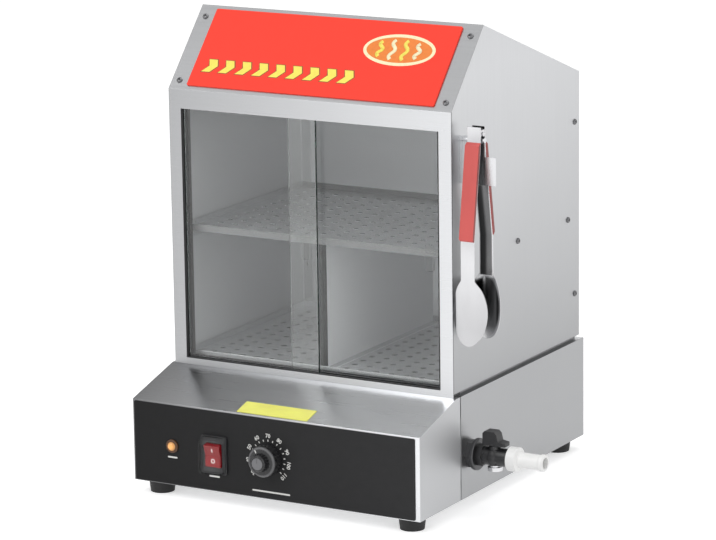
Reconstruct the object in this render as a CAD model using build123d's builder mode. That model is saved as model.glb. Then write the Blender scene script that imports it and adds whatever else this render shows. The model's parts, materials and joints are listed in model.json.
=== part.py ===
from build123d import *

import math
import os

# Hot dog steamer: a stainless display cabinet with two sliding glass doors and a
# sloped sign, on a base that holds the water tank and the controls.
# Millimetres. +X right, +Y back, +Z up. The origin is the centre of the base's
# footprint, on the surface that the feet stand on.

os.makedirs("parts", exist_ok=True)

# ---------------------------------------------------------------- driving sizes
sheet = 1.0  # stainless sheet
touch_gap = 0.3  # play beside a piece that slides or hangs
hole_play = 0.1  # play round a fixed piece in its hole
running_play = 0.06  # radial play of a shaft in its bore

base_width = 378.0
base_depth = 410.0
foot_height = 16.0
foot_diameter = 32.0
foot_inset_x = 23.0  # centre of a foot from the base's side
foot_inset_y = 24.0
control_top = 113.0  # lower edge of the control box's slope, above the floor
base_top = 137.0
slope_run = 87.0  # from the control panel back to the cabinet's front face
box_overhang = 9.0  # control box, from the cabinet's face to the joint line
joint_gap = 2.0  # dark joint between the control box and the lower sides

cabinet_inset = 4.0  # cabinet's sides and rear, in from the base's
seal_height = 4.0
seal_width = 8.0
seal_inset = 4.0  # seal, in from the cabinet's sides and rear
sign_foot_height = 463.0  # top of the cabinet's upright front
peak_height = 550.0
peak_run = 78.0  # from the front face back to the roof's peak
eave_height = 461.0  # rear edge of the roof
frame_border = 16.0  # front frame beside the window
sill_height = 7.5
head_height = 22.5

overlay = 1.0  # black control panel
panel_margin = 2.0
panel_right_margin = 6.0
lamp_x, lamp_z = -135.5, 62.8
switch_x, switch_z = -78.0, 60.0
dial_x, dial_z = -6.5, 64.0
lamp_diameter = 12.0
lamp_bezel_diameter = 16.0
lamp_bezel_height = 2.2
lamp_barrel_length = 24.0
switch_flange = (34.0, 45.0)
switch_body = (23.0, 31.0)
switch_depth = 24.0
rocker_size = (20.4, 26.4)
rocker_tilt = 8.0  # degrees each way
rocker_pin_diameter = 2.4
cover_height = 12.0
cover_wall = 1.2
knob_diameter = 36.0
grip_diameter = 20.0
knob_depth = 24.5
shaft_diameter = 6.0
bush_diameter = 9.8

tank_front_gap = 6.0  # tank behind the control box's joint line
tank_floor = 50.0
tank_corner = 5.0
element_diameter = 8.0
element_lift = 14.0  # element's axis above the tank's underside
element_bend = 24.0
element_ends = 25.0  # half the distance between the element's two ends
element_margins = (42.0, 40.0, 50.0)  # from the tank's sides, front and rear
bulb_x = -60.0  # thermostat's bulb, over the element
bulb_lift = 14.0  # bulb's axis above the element's
bulb_diameter = 6.0

drain_back = 120.0  # drain axis, behind the control panel
drain_lift = 16.0  # drain axis above the tank's underside
pipe_diameter = 21.0
pipe_bore = 15.0
locknut_length = 7.0
collar_diameter = 37.0
collar_length = 5.0
valve_length = 39.0
valve_diameter = 21.0
ball_diameter = 15.0
waterway = 9.0
stem_diameter = 6.0
lever_length = 15.5
lever_width = 14.0
lever_top = 30.0  # above the drain axis
spout_diameter = 18.0
spout_length = 44.0
spout_collar = 28.0
spout_bore = 13.0

glass = 4.0
groove_play = 0.5  # each side of a pane
track_wall = 2.0
track_web = 3.0  # between the two grooves
track_lip = 9.0  # height of the bottom track
top_track_lip = 14.0
pane_cover = 6.5  # panes, above the window's top edge
left_pane_edge = 8.0  # right edge of the left, outer pane
right_pane_edge = -32.0  # left edge of the right, inner pane
pull_size = (12.0, 30.0)
pull_thickness = 2.0
pull_height = 293.0

shelf_height = 293.0  # underside of the bun tray
tray_lip = 8.0
tray_hole = 8.0
tray_pitch = 20.0
flange = 12.0  # folded edges that carry the lower tray
rear_fold = 22.0  # rear panel's folds along the sides
rail_width = 12.0
rail_drop = 13.0
divider_setback = 13.0  # behind the tray's front edge
divider_edge = 5.0  # half the width of the divider's folded front edge
divider_foot_width = 10.0  # each side of the divider

tongs_reach = 21.0  # middle of the tongs, out from the cabinet's side
tongs_back = 20.0  # and behind the cabinet's face
tongs_top = 446.0
tongs_length = 246.0
pivot_drop = 8.0  # pivot below the tongs' top
arm_width = 16.5
arm_sheet = 1.5
arm_spread = 23.0  # half the distance between the arms, lower down
arm_shoulder = 6.0  # half the distance between the arms at the pivot
shoulder_drop = 8.0  # arms' shoulder below the pivot
slant_length = 111.0  # stretch over which the arms spread
spoon_length = 76.0
spoon_width = 42.0
spoon_radius = 38.0
grip_length = 110.0
grip_thickness = 4.0
bracket_height = 32.0
bracket_drop = 25.5  # top of the bracket's plate below the pivot
bracket_reach = 45.0
peg_length = 32.0
peg_diameter = 6.0
tong_pin_diameter = 4.0
tong_pin_head = 5.0
spring_wire = 0.9
spring_coil = 6.4  # mean diameter of the coil
spring_pitch = 1.6
spring_turns = 5

screw_diameter = 4.0
screw_head = 7.0
screw_head_height = 2.2
screw_length = 8.0

# ---------------------------------------------------------------- derived places
front_y = -base_depth / 2
rear_y = base_depth / 2
side_x = base_width / 2
box_y = front_y + overlay  # front wall of the control box
face_y = front_y + slope_run  # upright front of the cabinet
cabinet_rear_y = rear_y - cabinet_inset
cabinet_x = side_x - cabinet_inset
joint_y = face_y + box_overhang
lower_y = joint_y + joint_gap
cabinet_bottom = base_top + seal_height
seal_seat = seal_inset + seal_width + sheet  # ledge under the seal, in from the cabinet's sides
tank_front = joint_y + tank_front_gap
tank_rear = cabinet_rear_y - seal_seat
tank_x = cabinet_x - seal_seat
element_z = tank_floor + element_lift
bulb_z = element_z + bulb_lift
drain_y = front_y + drain_back
drain_z = tank_floor + drain_lift
window_x = cabinet_x - frame_border
window_bottom = base_top + sill_height
window_top = sign_foot_height - head_height
groove = glass + 2 * groove_play
outer_pane_y = face_y + sheet + track_wall + groove / 2
inner_pane_y = outer_pane_y + groove + track_web
track_rear = inner_pane_y + groove / 2 + track_wall

front_plane = Plane.XZ.offset(-front_y)  # faces the front
slope_angle = math.atan2(base_top - control_top, face_y - box_y)
slope_plane = Plane(
    origin=(0, box_y, control_top),
    x_dir=(1, 0, 0),
    z_dir=(0, -math.sin(slope_angle), math.cos(slope_angle)),
)
sign_rise = peak_height - sign_foot_height
sign_length = math.hypot(sign_rise, peak_run)
sign_angle = math.atan2(sign_rise, peak_run)
sign_plane = Plane(
    origin=(0, face_y, sign_foot_height),
    x_dir=(1, 0, 0),
    z_dir=(0, -math.sin(sign_angle), math.cos(sign_angle)),
)


def save(part, name):
    """Label a finished piece and write it as its own STEP file."""
    part.label = name
    export_step(part, f"parts/{name}.step")


def block(x, y, z, mode=Mode.ADD):
    """Add or cut a block between two values each of x, y and z."""
    with Locations(((x[0] + x[1]) / 2, (y[0] + y[1]) / 2, (z[0] + z[1]) / 2)):
        Box(abs(x[1] - x[0]), abs(y[1] - y[0]), abs(z[1] - z[0]), mode=mode)


def rod(start, axis, length, radius, mode=Mode.ADD):
    """Add or cut a cylinder that starts at a point and runs along an axis."""
    turn = {"X": (0, 90, 0), "Y": (-90, 0, 0), "Z": (0, 0, 0)}[axis]
    with Locations(Location(start, turn)):
        Cylinder(radius, length, align=(Align.CENTER, Align.CENTER, Align.MIN), mode=mode)


screw_planes = []  # seat of each pan-head screw's head, facing out
nut_seats = []  # seat, corner radius, bore radius and height of each hexagon nut


# ================================================================ base
# ---------------------------------------------------------------- control box
with BuildPart() as control_box:
    with BuildSketch(Plane.YZ):
        with BuildLine():
            Polyline(
                (box_y, foot_height),
                (box_y, control_top),
                (face_y, base_top),
                (joint_y, base_top),
                (joint_y, foot_height),
                close=True,
            )
        make_face()
    extrude(amount=side_x, both=True)
    open_rear = control_box.faces().sort_by(Axis.Y)[-1]
    open_bottom = control_box.faces().sort_by(Axis.Z)[0]
    offset(amount=-sheet, openings=[open_rear, open_bottom])
    with BuildSketch(front_plane) as panel_holes:
        with Locations((lamp_x, lamp_z)):
            Circle(lamp_diameter / 2 + hole_play)
        with Locations((switch_x, switch_z)):
            Rectangle(switch_body[0] + 4 * hole_play, switch_body[1] + 4 * hole_play)
        with Locations((dial_x, dial_z)):
            Circle(bush_diameter / 2 + hole_play)
    extrude(amount=-(overlay + 2 * sheet), mode=Mode.SUBTRACT)
save(control_box.part, "control_box")

# ---------------------------------------------------------------- control panel
panel_bottom = foot_height + sheet
panel_top = control_top - panel_margin
panel_width = base_width - panel_margin - panel_right_margin
panel_corner = 1.5
with BuildPart() as control_panel:
    with BuildSketch(front_plane):
        with Locations((-base_width / 2 + panel_margin + panel_width / 2, (panel_bottom + panel_top) / 2)):
            RectangleRounded(panel_width, panel_top - panel_bottom, panel_corner)
    extrude(amount=-overlay)
    extrude(to_extrude=panel_holes.sketch, amount=-overlay, mode=Mode.SUBTRACT)
save(control_panel.part, "control_panel")

# ---------------------------------------------------------------- notice plate
notice_size = (93.0, 24.0)
notice_x = -3.0
notice_up = 14.0  # middle of the plate, up the slope
notice_corner = 1.0
notice_thickness = 0.4
with BuildPart() as notice_plate:
    with BuildSketch(slope_plane):
        with Locations((notice_x, notice_up)):
            RectangleRounded(*notice_size, notice_corner)
    extrude(amount=notice_thickness)
save(notice_plate.part, "notice_plate")

# ---------------------------------------------------------------- base pan
pan_lip = 12.0
foot_screw_diameter = 4.8
floor_slot = (36.0, 4.0)
floor_slot_pitch = (24.0, 60.0)
floor_slot_count = (8, 3)
foot_places = [
    (x, y)
    for x in (-side_x + foot_inset_x, side_x - foot_inset_x)
    for y in (front_y + foot_inset_y, rear_y - foot_inset_y)
]
foot_hole = foot_screw_diameter / 2 + 2 * hole_play
with BuildPart() as base_pan:
    block(
        (-side_x + sheet, side_x - sheet),
        (box_y + sheet, rear_y - sheet),
        (foot_height, foot_height + pan_lip),
    )
    offset(amount=-sheet, openings=base_pan.faces().sort_by(Axis.Z)[-1])
    for x, y in foot_places:
        rod((x, y, foot_height), "Z", sheet, foot_hole, Mode.SUBTRACT)
    with BuildSketch(Plane.XY.offset(foot_height)):
        with GridLocations(*floor_slot_pitch, *floor_slot_count):
            SlotOverall(*floor_slot, rotation=90)
    extrude(amount=sheet, mode=Mode.SUBTRACT)
save(base_pan.part, "base_pan")

# ---------------------------------------------------------------- lower sides and rear
tab_reach = 18.0  # tab of each side behind the control box's wall
tab_overlap = 7.0  # tab's stretch on the side itself
rear_flange = 12.0
fold_ends = 24.0  # tabs and flanges stop this far from the side's ends
rear_screw_inset = 8.0
rear_screw_heights = (48.0, 108.0)
vent_slot = (30.0, 4.0)
vent_pitch = (38.0, 12.0)
vent_count = (5, 3)
vent_middle = (40.0, 96.0)
gland_x, gland_z = -120.0, 40.0
gland_diameter = 16.0
gland_bore = 8.2
fold_low, fold_high = foot_height + fold_ends, base_top - fold_ends
with BuildPart() as lower_side_left:
    block((-side_x, -side_x + sheet), (lower_y, rear_y - sheet), (foot_height, base_top))
    block((-side_x + sheet, -tank_x), (lower_y, tank_rear), (base_top - sheet, base_top))
    block(
        (-side_x + sheet, -side_x + 2 * sheet),
        (lower_y - tab_reach, lower_y + tab_overlap),
        (fold_low, fold_high),
    )
    block(
        (-side_x + sheet, -side_x + rear_flange),
        (rear_y - 2 * sheet, rear_y - sheet),
        (fold_low, fold_high),
    )
    for screw_z in rear_screw_heights:
        hole_start = (-side_x + rear_screw_inset, rear_y - 3 * sheet, screw_z)
        rod(hole_start, "Y", 3 * sheet, screw_diameter / 2, Mode.SUBTRACT)
save(lower_side_left.part, "lower_side_left")

with BuildPart() as lower_side_right:
    mirror(objects=lower_side_left.part, about=Plane.YZ)
    pipe_hole = pipe_diameter / 2 + 5 * hole_play
    rod((side_x - 2 * sheet, drain_y, drain_z), "X", 3 * sheet, pipe_hole, Mode.SUBTRACT)
save(lower_side_right.part, "lower_side_right")

rear_screw_places = [
    (x, z) for x in (-side_x + rear_screw_inset, side_x - rear_screw_inset) for z in rear_screw_heights
]
with BuildPart() as lower_rear_panel:
    block((-side_x, side_x), (rear_y - sheet, rear_y), (foot_height, base_top))
    block((-side_x + sheet, side_x - sheet), (tank_rear, rear_y - sheet), (base_top - sheet, base_top))
    with BuildSketch(Plane.XZ.offset(-rear_y)):
        with Locations(vent_middle):
            with GridLocations(*vent_pitch, *vent_count):
                SlotOverall(*vent_slot)
        with Locations((gland_x, gland_z)):
            Circle(gland_diameter / 2 + hole_play)
        with Locations(*rear_screw_places):
            Circle(screw_diameter / 2)
    extrude(amount=sheet, both=True, mode=Mode.SUBTRACT)
save(lower_rear_panel.part, "lower_rear_panel")

screw_planes += [Plane((x, rear_y, z), x_dir=(1, 0, 0), z_dir=(0, 1, 0)) for x, z in rear_screw_places]

# ---------------------------------------------------------------- feet
foot_taper = 2.0
recess_depth = 8.0
recess_radius = 6.0
foot_screw_head = 4.6  # radius of the head, in the foot's recess
foot_screw_head_height = 3.2
foot_screw_tail = 6.0  # above the base pan
foot_nut_height = 4.0
with BuildPart() as feet:
    with Locations(*[(x, y, 0) for x, y in foot_places]):
        Cone(
            foot_diameter / 2 - foot_taper,
            foot_diameter / 2,
            foot_height,
            align=(Align.CENTER, Align.CENTER, Align.MIN),
        )
    for x, y in foot_places:
        rod((x, y, 0), "Z", recess_depth, recess_radius, Mode.SUBTRACT)
        rod((x, y, 0), "Z", foot_height, foot_hole, Mode.SUBTRACT)
save(feet.part, "feet")

with BuildPart() as foot_screws:
    for x, y in foot_places:
        head_low = (x, y, recess_depth - foot_screw_head_height)
        shank_length = foot_height - recess_depth + sheet + foot_screw_tail
        rod(head_low, "Z", foot_screw_head_height, foot_screw_head)
        rod((x, y, recess_depth), "Z", shank_length, foot_screw_diameter / 2)
    with BuildSketch(Plane.XY.offset(foot_height + sheet)):
        with Locations(*foot_places):
            RegularPolygon(foot_screw_head, 6)
            Circle(foot_screw_diameter / 2 + hole_play, mode=Mode.SUBTRACT)
    extrude(amount=foot_nut_height)
save(foot_screws.part, "foot_screws")

# ---------------------------------------------------------------- water tank
rim_gap = 4.0  # tank's rim, short of the lower housing's walls
rim_thickness = sheet
element_hole = element_diameter / 2 + 2 * hole_play
bulb_hole = bulb_diameter / 2 + 2 * hole_play
tank_depth = tank_rear - tank_front
tank_middle = (tank_rear + tank_front) / 2
rim_side = side_x - sheet - rim_gap
rim_front = joint_y - tank_front_gap
rim_rear = rear_y - sheet - rim_gap
with BuildPart() as water_tank:
    with BuildSketch(Plane.XY.offset(tank_floor)):
        with Locations((0, tank_middle)):
            RectangleRounded(2 * tank_x, tank_depth, tank_corner)
    extrude(amount=base_top - sheet - tank_floor)
    offset(amount=-sheet, openings=water_tank.faces().sort_by(Axis.Z)[-1])
    with BuildSketch(Plane.XY.offset(base_top - sheet)):
        with Locations((0, (rim_front + rim_rear) / 2)):
            Rectangle(2 * rim_side, rim_rear - rim_front)
        with Locations((0, tank_middle)):
            RectangleRounded(
                2 * (tank_x - sheet),
                tank_depth - 2 * sheet,
                tank_corner - sheet,
                mode=Mode.SUBTRACT,
            )
    extrude(amount=-rim_thickness)
    pipe_seat = pipe_diameter / 2 + hole_play
    rod((tank_x - 2 * sheet, drain_y, drain_z), "X", 3 * sheet, pipe_seat, Mode.SUBTRACT)
    for x in (-element_ends, element_ends):
        rod((x, tank_front - sheet, element_z), "Y", 3 * sheet, element_hole, Mode.SUBTRACT)
    rod((bulb_x, tank_front - sheet, bulb_z), "Y", 3 * sheet, bulb_hole, Mode.SUBTRACT)
save(water_tank.part, "water_tank")

# ---------------------------------------------------------------- heating element
element_stub = 24.0  # cold ends, in front of the tank
terminal_length = 10.0
terminal_radius = 2.0
gasket_radius = 9.0
gasket_thickness = 2.0
collar_thickness = 3.0  # fixed collar that presses each gasket on the tank
element_start = tank_front - element_stub
element_front = tank_front + element_margins[1]
element_rear = tank_rear - element_margins[2]
element_x = tank_x - element_margins[0]
gasket_y = tank_front + sheet
with BuildPart() as heating_element:
    with BuildLine() as element_path:
        FilletPolyline(
            (-element_ends, element_start, element_z),
            (-element_ends, element_front, element_z),
            (-element_x, element_front, element_z),
            (-element_x, element_rear, element_z),
            (element_x, element_rear, element_z),
            (element_x, element_front, element_z),
            (element_ends, element_front, element_z),
            (element_ends, element_start, element_z),
            radius=element_bend,
        )
    with BuildSketch(Plane.XZ.offset(-element_start)):
        with Locations((-element_ends, element_z)):
            Circle(element_diameter / 2)
    sweep(path=element_path.line)
    for x in (-element_ends, element_ends):
        rod((x, element_start - terminal_length, element_z), "Y", terminal_length, terminal_radius)
        rod((x, gasket_y + gasket_thickness, element_z), "Y", collar_thickness, gasket_radius)
save(heating_element.part, "heating_element")

with BuildPart() as element_gaskets:
    for x in (-element_ends, element_ends):
        rod((x, gasket_y, element_z), "Y", gasket_thickness, gasket_radius)
        gasket_bore = element_diameter / 2 + hole_play
        rod((x, gasket_y, element_z), "Y", gasket_thickness, gasket_bore, Mode.SUBTRACT)
save(element_gaskets.part, "element_gaskets")

nut_height = 2.6
nut_corner = 8.0
nut_seats += [
    (
        Plane((x, tank_front, element_z), x_dir=(1, 0, 0), z_dir=(0, -1, 0)),
        nut_corner,
        element_diameter / 2 + hole_play,
        nut_height,
    )
    for x in (-element_ends, element_ends)
]

# ---------------------------------------------------------------- electrical parts
cutout_x, cutout_y = 60.0, 40.0
cutout_cap = (12.0, 5.0)  # radius and height of the cap on the tank's underside
cutout_body = (8.0, 9.0)
cutout_tab = (3.0, 3.0, 8.0)
cutout_tab_gap = 5.5  # from the middle to each tab
with BuildPart() as thermal_cutout:
    cap_low = tank_floor - cutout_cap[1]
    body_low = cap_low - cutout_body[1]
    rod((cutout_x, cutout_y, cap_low), "Z", cutout_cap[1], cutout_cap[0])
    rod((cutout_x, cutout_y, body_low), "Z", cutout_body[1], cutout_body[0])
    with Locations(
        (cutout_x - cutout_tab_gap, cutout_y, body_low - cutout_tab[2] / 2),
        (cutout_x + cutout_tab_gap, cutout_y, body_low - cutout_tab[2] / 2),
    ):
        Box(*cutout_tab)
save(thermal_cutout.part, "thermal_cutout")

terminal_count = 5
terminal_pitch = 11.0
terminal_size = (60.0, 20.0, 14.0)
terminal_middle = (110.0, front_y + 30.0)
terminal_bore = 3.0
terminal_bore_depth = 4.0
with BuildPart() as terminal_block:
    terminal_top = foot_height + sheet + terminal_size[2]
    with Locations((*terminal_middle, terminal_top - terminal_size[2] / 2)):
        Box(*terminal_size)
    with BuildSketch(Plane.XY.offset(terminal_top)):
        with Locations(terminal_middle):
            with GridLocations(terminal_pitch, 0, terminal_count, 1):
                Circle(terminal_bore)
    extrude(amount=-terminal_bore_depth, mode=Mode.SUBTRACT)
save(terminal_block.part, "terminal_block")

gland_inner = 12.0  # behind the panel
gland_flange = (4.0, 3.0)  # how far it stands round the hole, and how thick
gland_nose = (6.5, 11.0)  # end radius and length of the tapered nose
with BuildPart() as cord_gland:
    gland_radius = gland_diameter / 2
    nose_y = rear_y + gland_flange[1]
    rod((gland_x, rear_y - gland_inner, gland_z), "Y", gland_inner, gland_radius)
    rod((gland_x, rear_y, gland_z), "Y", gland_flange[1], gland_radius + gland_flange[0])
    with Locations(Location((gland_x, nose_y, gland_z), (-90, 0, 0))):
        Cone(gland_radius, *gland_nose, align=(Align.CENTER, Align.CENTER, Align.MIN))
    bore_length = gland_inner + gland_flange[1] + gland_nose[1]
    rod((gland_x, rear_y - gland_inner, gland_z), "Y", bore_length, gland_bore / 2, Mode.SUBTRACT)
save(cord_gland.part, "cord_gland")

# ================================================================ controls
# ---------------------------------------------------------------- indicator lamp
bezel_wall = 0.8
lens_seat = 1.8  # depth of the lens's seat behind the panel's face
lens_height = 5.0
lens_shoulder = 2.6
lens_round = (0.55, 4.4)  # share of the radius and height of the dome's middle point
with BuildPart() as lamp_bezel:
    bezel_front = front_y - lamp_bezel_height
    rod((lamp_x, bezel_front, lamp_z), "Y", lamp_bezel_height, lamp_bezel_diameter / 2)
    rod((lamp_x, front_y, lamp_z), "Y", lamp_barrel_length, lamp_diameter / 2)
    chamfer(lamp_bezel.edges().group_by(Axis.Y)[0], bezel_wall)
    seat_length = lamp_bezel_height + lens_seat
    rod((lamp_x, bezel_front, lamp_z), "Y", seat_length, lamp_diameter / 2 - bezel_wall, Mode.SUBTRACT)
save(lamp_bezel.part, "lamp_bezel")

lens_radius = lamp_diameter / 2 - bezel_wall - hole_play
with BuildPart() as lamp_lens:
    with BuildSketch(Plane.YZ.offset(lamp_x)):
        with BuildLine():
            Polyline(
                (front_y - lens_shoulder, lamp_z + lens_radius),
                (front_y + lens_seat, lamp_z + lens_radius),
                (front_y + lens_seat, lamp_z),
                (front_y - lens_height, lamp_z),
            )
            ThreePointArc(
                (front_y - lens_height, lamp_z),
                (front_y - lens_round[1], lamp_z + lens_radius * lens_round[0]),
                (front_y - lens_shoulder, lamp_z + lens_radius),
            )
        make_face()
    revolve(axis=Axis((lamp_x, 0, lamp_z), (0, 1, 0)))
save(lamp_lens.part, "lamp_lens")

# ---------------------------------------------------------------- rocker switch
flange_height = 2.5
flange_corner = 3.0
pivot_depth = 1.5  # rocker's axis behind the panel's face
well_depth = 14.0
rocker_crown = 8.0  # rocker's ends in front of its axis
rocker_waist = 5.8  # its hollow middle
rocker_tail = 4.0  # half the width of its inner end
rocker_round = 0.4
pin_overhang = 1.0
pivot_y = front_y + pivot_depth
well_x = rocker_size[0] / 2 + touch_gap
well_z = rocker_size[1] / 2 + 2 * touch_gap + 2 * hole_play
pin_half = rocker_size[0] / 2 + pin_overhang
with BuildPart() as switch_frame:
    with BuildSketch(front_plane):
        with Locations((switch_x, switch_z)):
            RectangleRounded(*switch_flange, flange_corner)
    extrude(amount=flange_height)
    with BuildSketch(front_plane):
        with Locations((switch_x, switch_z)):
            Rectangle(*switch_body)
    extrude(amount=-switch_depth)
    block(
        (switch_x - well_x, switch_x + well_x),
        (front_y - flange_height, front_y + well_depth),
        (switch_z - well_z, switch_z + well_z),
        Mode.SUBTRACT,
    )
    pin_hole = rocker_pin_diameter / 2 + running_play
    pin_room = pin_half + hole_play
    rod((switch_x - pin_room, pivot_y, switch_z), "X", 2 * pin_room, pin_hole, Mode.SUBTRACT)
save(switch_frame.part, "switch_frame")

with BuildPart() as switch_rocker:
    half = rocker_size[1] / 2
    tilt = math.radians(rocker_tilt)
    rocker_plane = Plane(
        origin=(switch_x, pivot_y, switch_z),
        x_dir=(0, -math.cos(tilt), -math.sin(tilt)),
        z_dir=(-1, 0, 0),
    )
    with BuildSketch(rocker_plane):
        with BuildLine():
            Polyline(
                (rocker_crown, half - rocker_round),
                (rocker_waist, 0),
                (rocker_crown, -half + rocker_round),
                (0.0, -half),
                (-rocker_crown, -rocker_tail),
                (-rocker_crown, rocker_tail),
                (0.0, half),
                close=True,
            )
        make_face()
    extrude(amount=rocker_size[0] / 2, both=True)
    rod((switch_x - pin_half, pivot_y, switch_z), "X", 2 * pin_half, rocker_pin_diameter / 2)
save(switch_rocker.part, "switch_rocker")

cover_inset = 1.0
cover_corner = 4.0
cover_draft = 5.0
cover_round = 3.0
with BuildPart() as switch_cover:
    cover_plane = front_plane.offset(flange_height)
    cover_size = (switch_flange[0] - 2 * cover_inset, switch_flange[1] - 2 * cover_inset)
    with BuildSketch(cover_plane):
        with Locations((switch_x, switch_z)):
            RectangleRounded(*cover_size, cover_corner)
    extrude(amount=cover_height, taper=cover_draft)
    fillet(switch_cover.edges().group_by(Axis.Y)[0], cover_round)
    with BuildSketch(cover_plane):
        with Locations((switch_x, switch_z)):
            RectangleRounded(
                cover_size[0] - 2 * cover_wall,
                cover_size[1] - 2 * cover_wall,
                cover_corner - cover_wall,
            )
    extrude(amount=cover_height - cover_wall, taper=cover_draft, mode=Mode.SUBTRACT)
save(switch_cover.part, "switch_cover")

# ---------------------------------------------------------------- thermostat and knob
bush_reach = 4.0  # in front of the panel
thermostat_size = (34.0, 28.0, 44.0)
thermostat_tab = (5.0, 8.0, 0.8)
thermostat_tab_up = 12.0  # above and below the dial's axis
shaft_bore_depth = 14.0
knob_gap = 1.0  # knob's back in front of the panel
knob_skin = 3.0  # knob's front wall, before the shaft's end
flat_depth = 1.5  # flat on the shaft
flat_gap = 2.8  # flat stops this far short of the knob's hub
thermostat_inner = front_y + overlay + sheet
thermostat_rear = thermostat_inner + thermostat_size[1]
bush_length = bush_reach + overlay + sheet
with BuildPart() as thermostat_body:
    with Locations((dial_x, thermostat_inner + thermostat_size[1] / 2, dial_z)):
        Box(*thermostat_size)
    bush_start = (dial_x, front_y - bush_reach, dial_z)
    rod(bush_start, "Y", bush_length, bush_diameter / 2)
    bore_radius = shaft_diameter / 2 + running_play
    rod(bush_start, "Y", bush_length + shaft_bore_depth, bore_radius, Mode.SUBTRACT)
    tab_y = thermostat_rear + thermostat_tab[1] / 2
    with Locations((dial_x, tab_y, dial_z - thermostat_tab_up), (dial_x, tab_y, dial_z + thermostat_tab_up)):
        Box(*thermostat_tab)
save(thermostat_body.part, "thermostat_body")

nut_seats.append(
    (
        Plane((dial_x, front_y, dial_z), x_dir=(1, 0, 0), z_dir=(0, -1, 0)),
        nut_corner,
        bush_diameter / 2 + hole_play,
        nut_height,
    )
)

knob_back = front_y - knob_gap
knob_front = front_y - knob_depth
shaft_front = knob_front + knob_skin
shaft_end = thermostat_inner + shaft_bore_depth - sheet
hub_y = knob_back - 4.2  # bottom of the knob's recess over the nut
with BuildPart() as thermostat_shaft:
    rod((dial_x, shaft_front, dial_z), "Y", shaft_end - shaft_front, shaft_diameter / 2)
    block(
        (dial_x - shaft_diameter, dial_x + shaft_diameter),
        (shaft_front, hub_y + touch_gap),
        (dial_z + shaft_diameter / 2 - flat_depth, dial_z + shaft_diameter),
        Mode.SUBTRACT,
    )
save(thermostat_shaft.part, "thermostat_shaft")

skirt_thickness = 15.0
skirt_edge = 1.6
grip_foot = 0.8  # grip wider at its foot
grip_draft = 0.6
grip_edge = 1.2
insert_radius = 7.0
insert_sink = 1.0
insert_stand = 0.4
insert_round = 0.3
flute_count = 18
flute_radius = 1.3
flute_out = 0.7  # flutes' axes outside the grip
recess_over_nut = 9.0
pointer_width = 1.2
pointer_inner = 1.0
with BuildPart() as knob:
    skirt_front = knob_back - skirt_thickness
    grip_radius = grip_diameter / 2
    with BuildSketch(Plane.YZ.offset(dial_x)):
        with BuildLine():
            Polyline(
                (knob_back, dial_z),
                (knob_back, dial_z + knob_diameter / 2),
                (skirt_front + skirt_edge, dial_z + knob_diameter / 2),
                (skirt_front, dial_z + knob_diameter / 2 - skirt_edge),
                (skirt_front - 1, dial_z + grip_radius + grip_foot),
                (knob_front + grip_edge, dial_z + grip_radius - grip_draft),
                (knob_front, dial_z + grip_radius - grip_draft - grip_edge),
                (knob_front, dial_z),
                close=True,
            )
        make_face()
    revolve(axis=Axis((dial_x, 0, dial_z), (0, 1, 0)))
    with BuildSketch(Plane.XZ.offset(-knob_front)):
        with Locations((dial_x, dial_z)):
            with PolarLocations(grip_radius + flute_out, flute_count):
                Circle(flute_radius)
    extrude(amount=-(skirt_front - skirt_edge / 2 - knob_front), mode=Mode.SUBTRACT)
    rod((dial_x, knob_front, dial_z), "Y", insert_sink, insert_radius + hole_play, Mode.SUBTRACT)
    rod((dial_x, hub_y, dial_z), "Y", knob_back - hub_y, recess_over_nut, Mode.SUBTRACT)
    with BuildSketch(Plane.XZ.offset(-hub_y)):
        shaft_room = shaft_diameter / 2 + hole_play / 2
        with Locations((dial_x, dial_z)):
            Circle(shaft_room)
        with Locations((dial_x, dial_z + shaft_room)):
            Rectangle(2 * shaft_diameter, 2 * flat_depth - hole_play, mode=Mode.SUBTRACT)
    extrude(amount=hub_y - shaft_front + hole_play, mode=Mode.SUBTRACT)
save(knob.part, "knob")

with BuildPart() as knob_insert:
    insert_front = knob_front - insert_stand
    rod((dial_x, insert_front, dial_z), "Y", insert_stand + insert_sink - hole_play, insert_radius)
    fillet(knob_insert.edges().group_by(Axis.Y)[0], insert_round)
    block(
        (dial_x - pointer_width / 2, dial_x + pointer_width / 2),
        (insert_front, knob_front),
        (dial_z + pointer_inner, dial_z + insert_radius - pointer_width),
        Mode.SUBTRACT,
    )
save(knob_insert.part, "knob_insert")

capillary_radius = 1.0
capillary_exit = (-10.0, -4.0)  # from the dial's axis
capillary_bend = 8.0
capillary_run = 16.0
capillary_shift = 14.0
bulb_length = 70.0
bulb_start = tank_front + 30.0
fitting_radius = 5.0
fitting_length = 4.0
with BuildPart() as thermostat_bulb:
    exit_x, exit_z = dial_x + capillary_exit[0], dial_z + capillary_exit[1]
    with BuildLine() as capillary_path:
        FilletPolyline(
            (exit_x, thermostat_rear, exit_z),
            (exit_x, thermostat_rear + capillary_run, exit_z),
            (bulb_x, thermostat_rear + capillary_run + capillary_shift, bulb_z),
            (bulb_x, bulb_start + fitting_length, bulb_z),
            radius=capillary_bend,
        )
    with BuildSketch(Plane.XZ.offset(-thermostat_rear)):
        with Locations((exit_x, exit_z)):
            Circle(capillary_radius)
    sweep(path=capillary_path.line)
    rod((bulb_x, bulb_start, bulb_z), "Y", bulb_length, bulb_diameter / 2)
    rod((bulb_x, tank_front - fitting_length, bulb_z), "Y", fitting_length, fitting_radius)
    rod((bulb_x, tank_front, bulb_z), "Y", 3 * sheet, bulb_diameter / 2)
save(thermostat_bulb.part, "thermostat_bulb")

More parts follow.
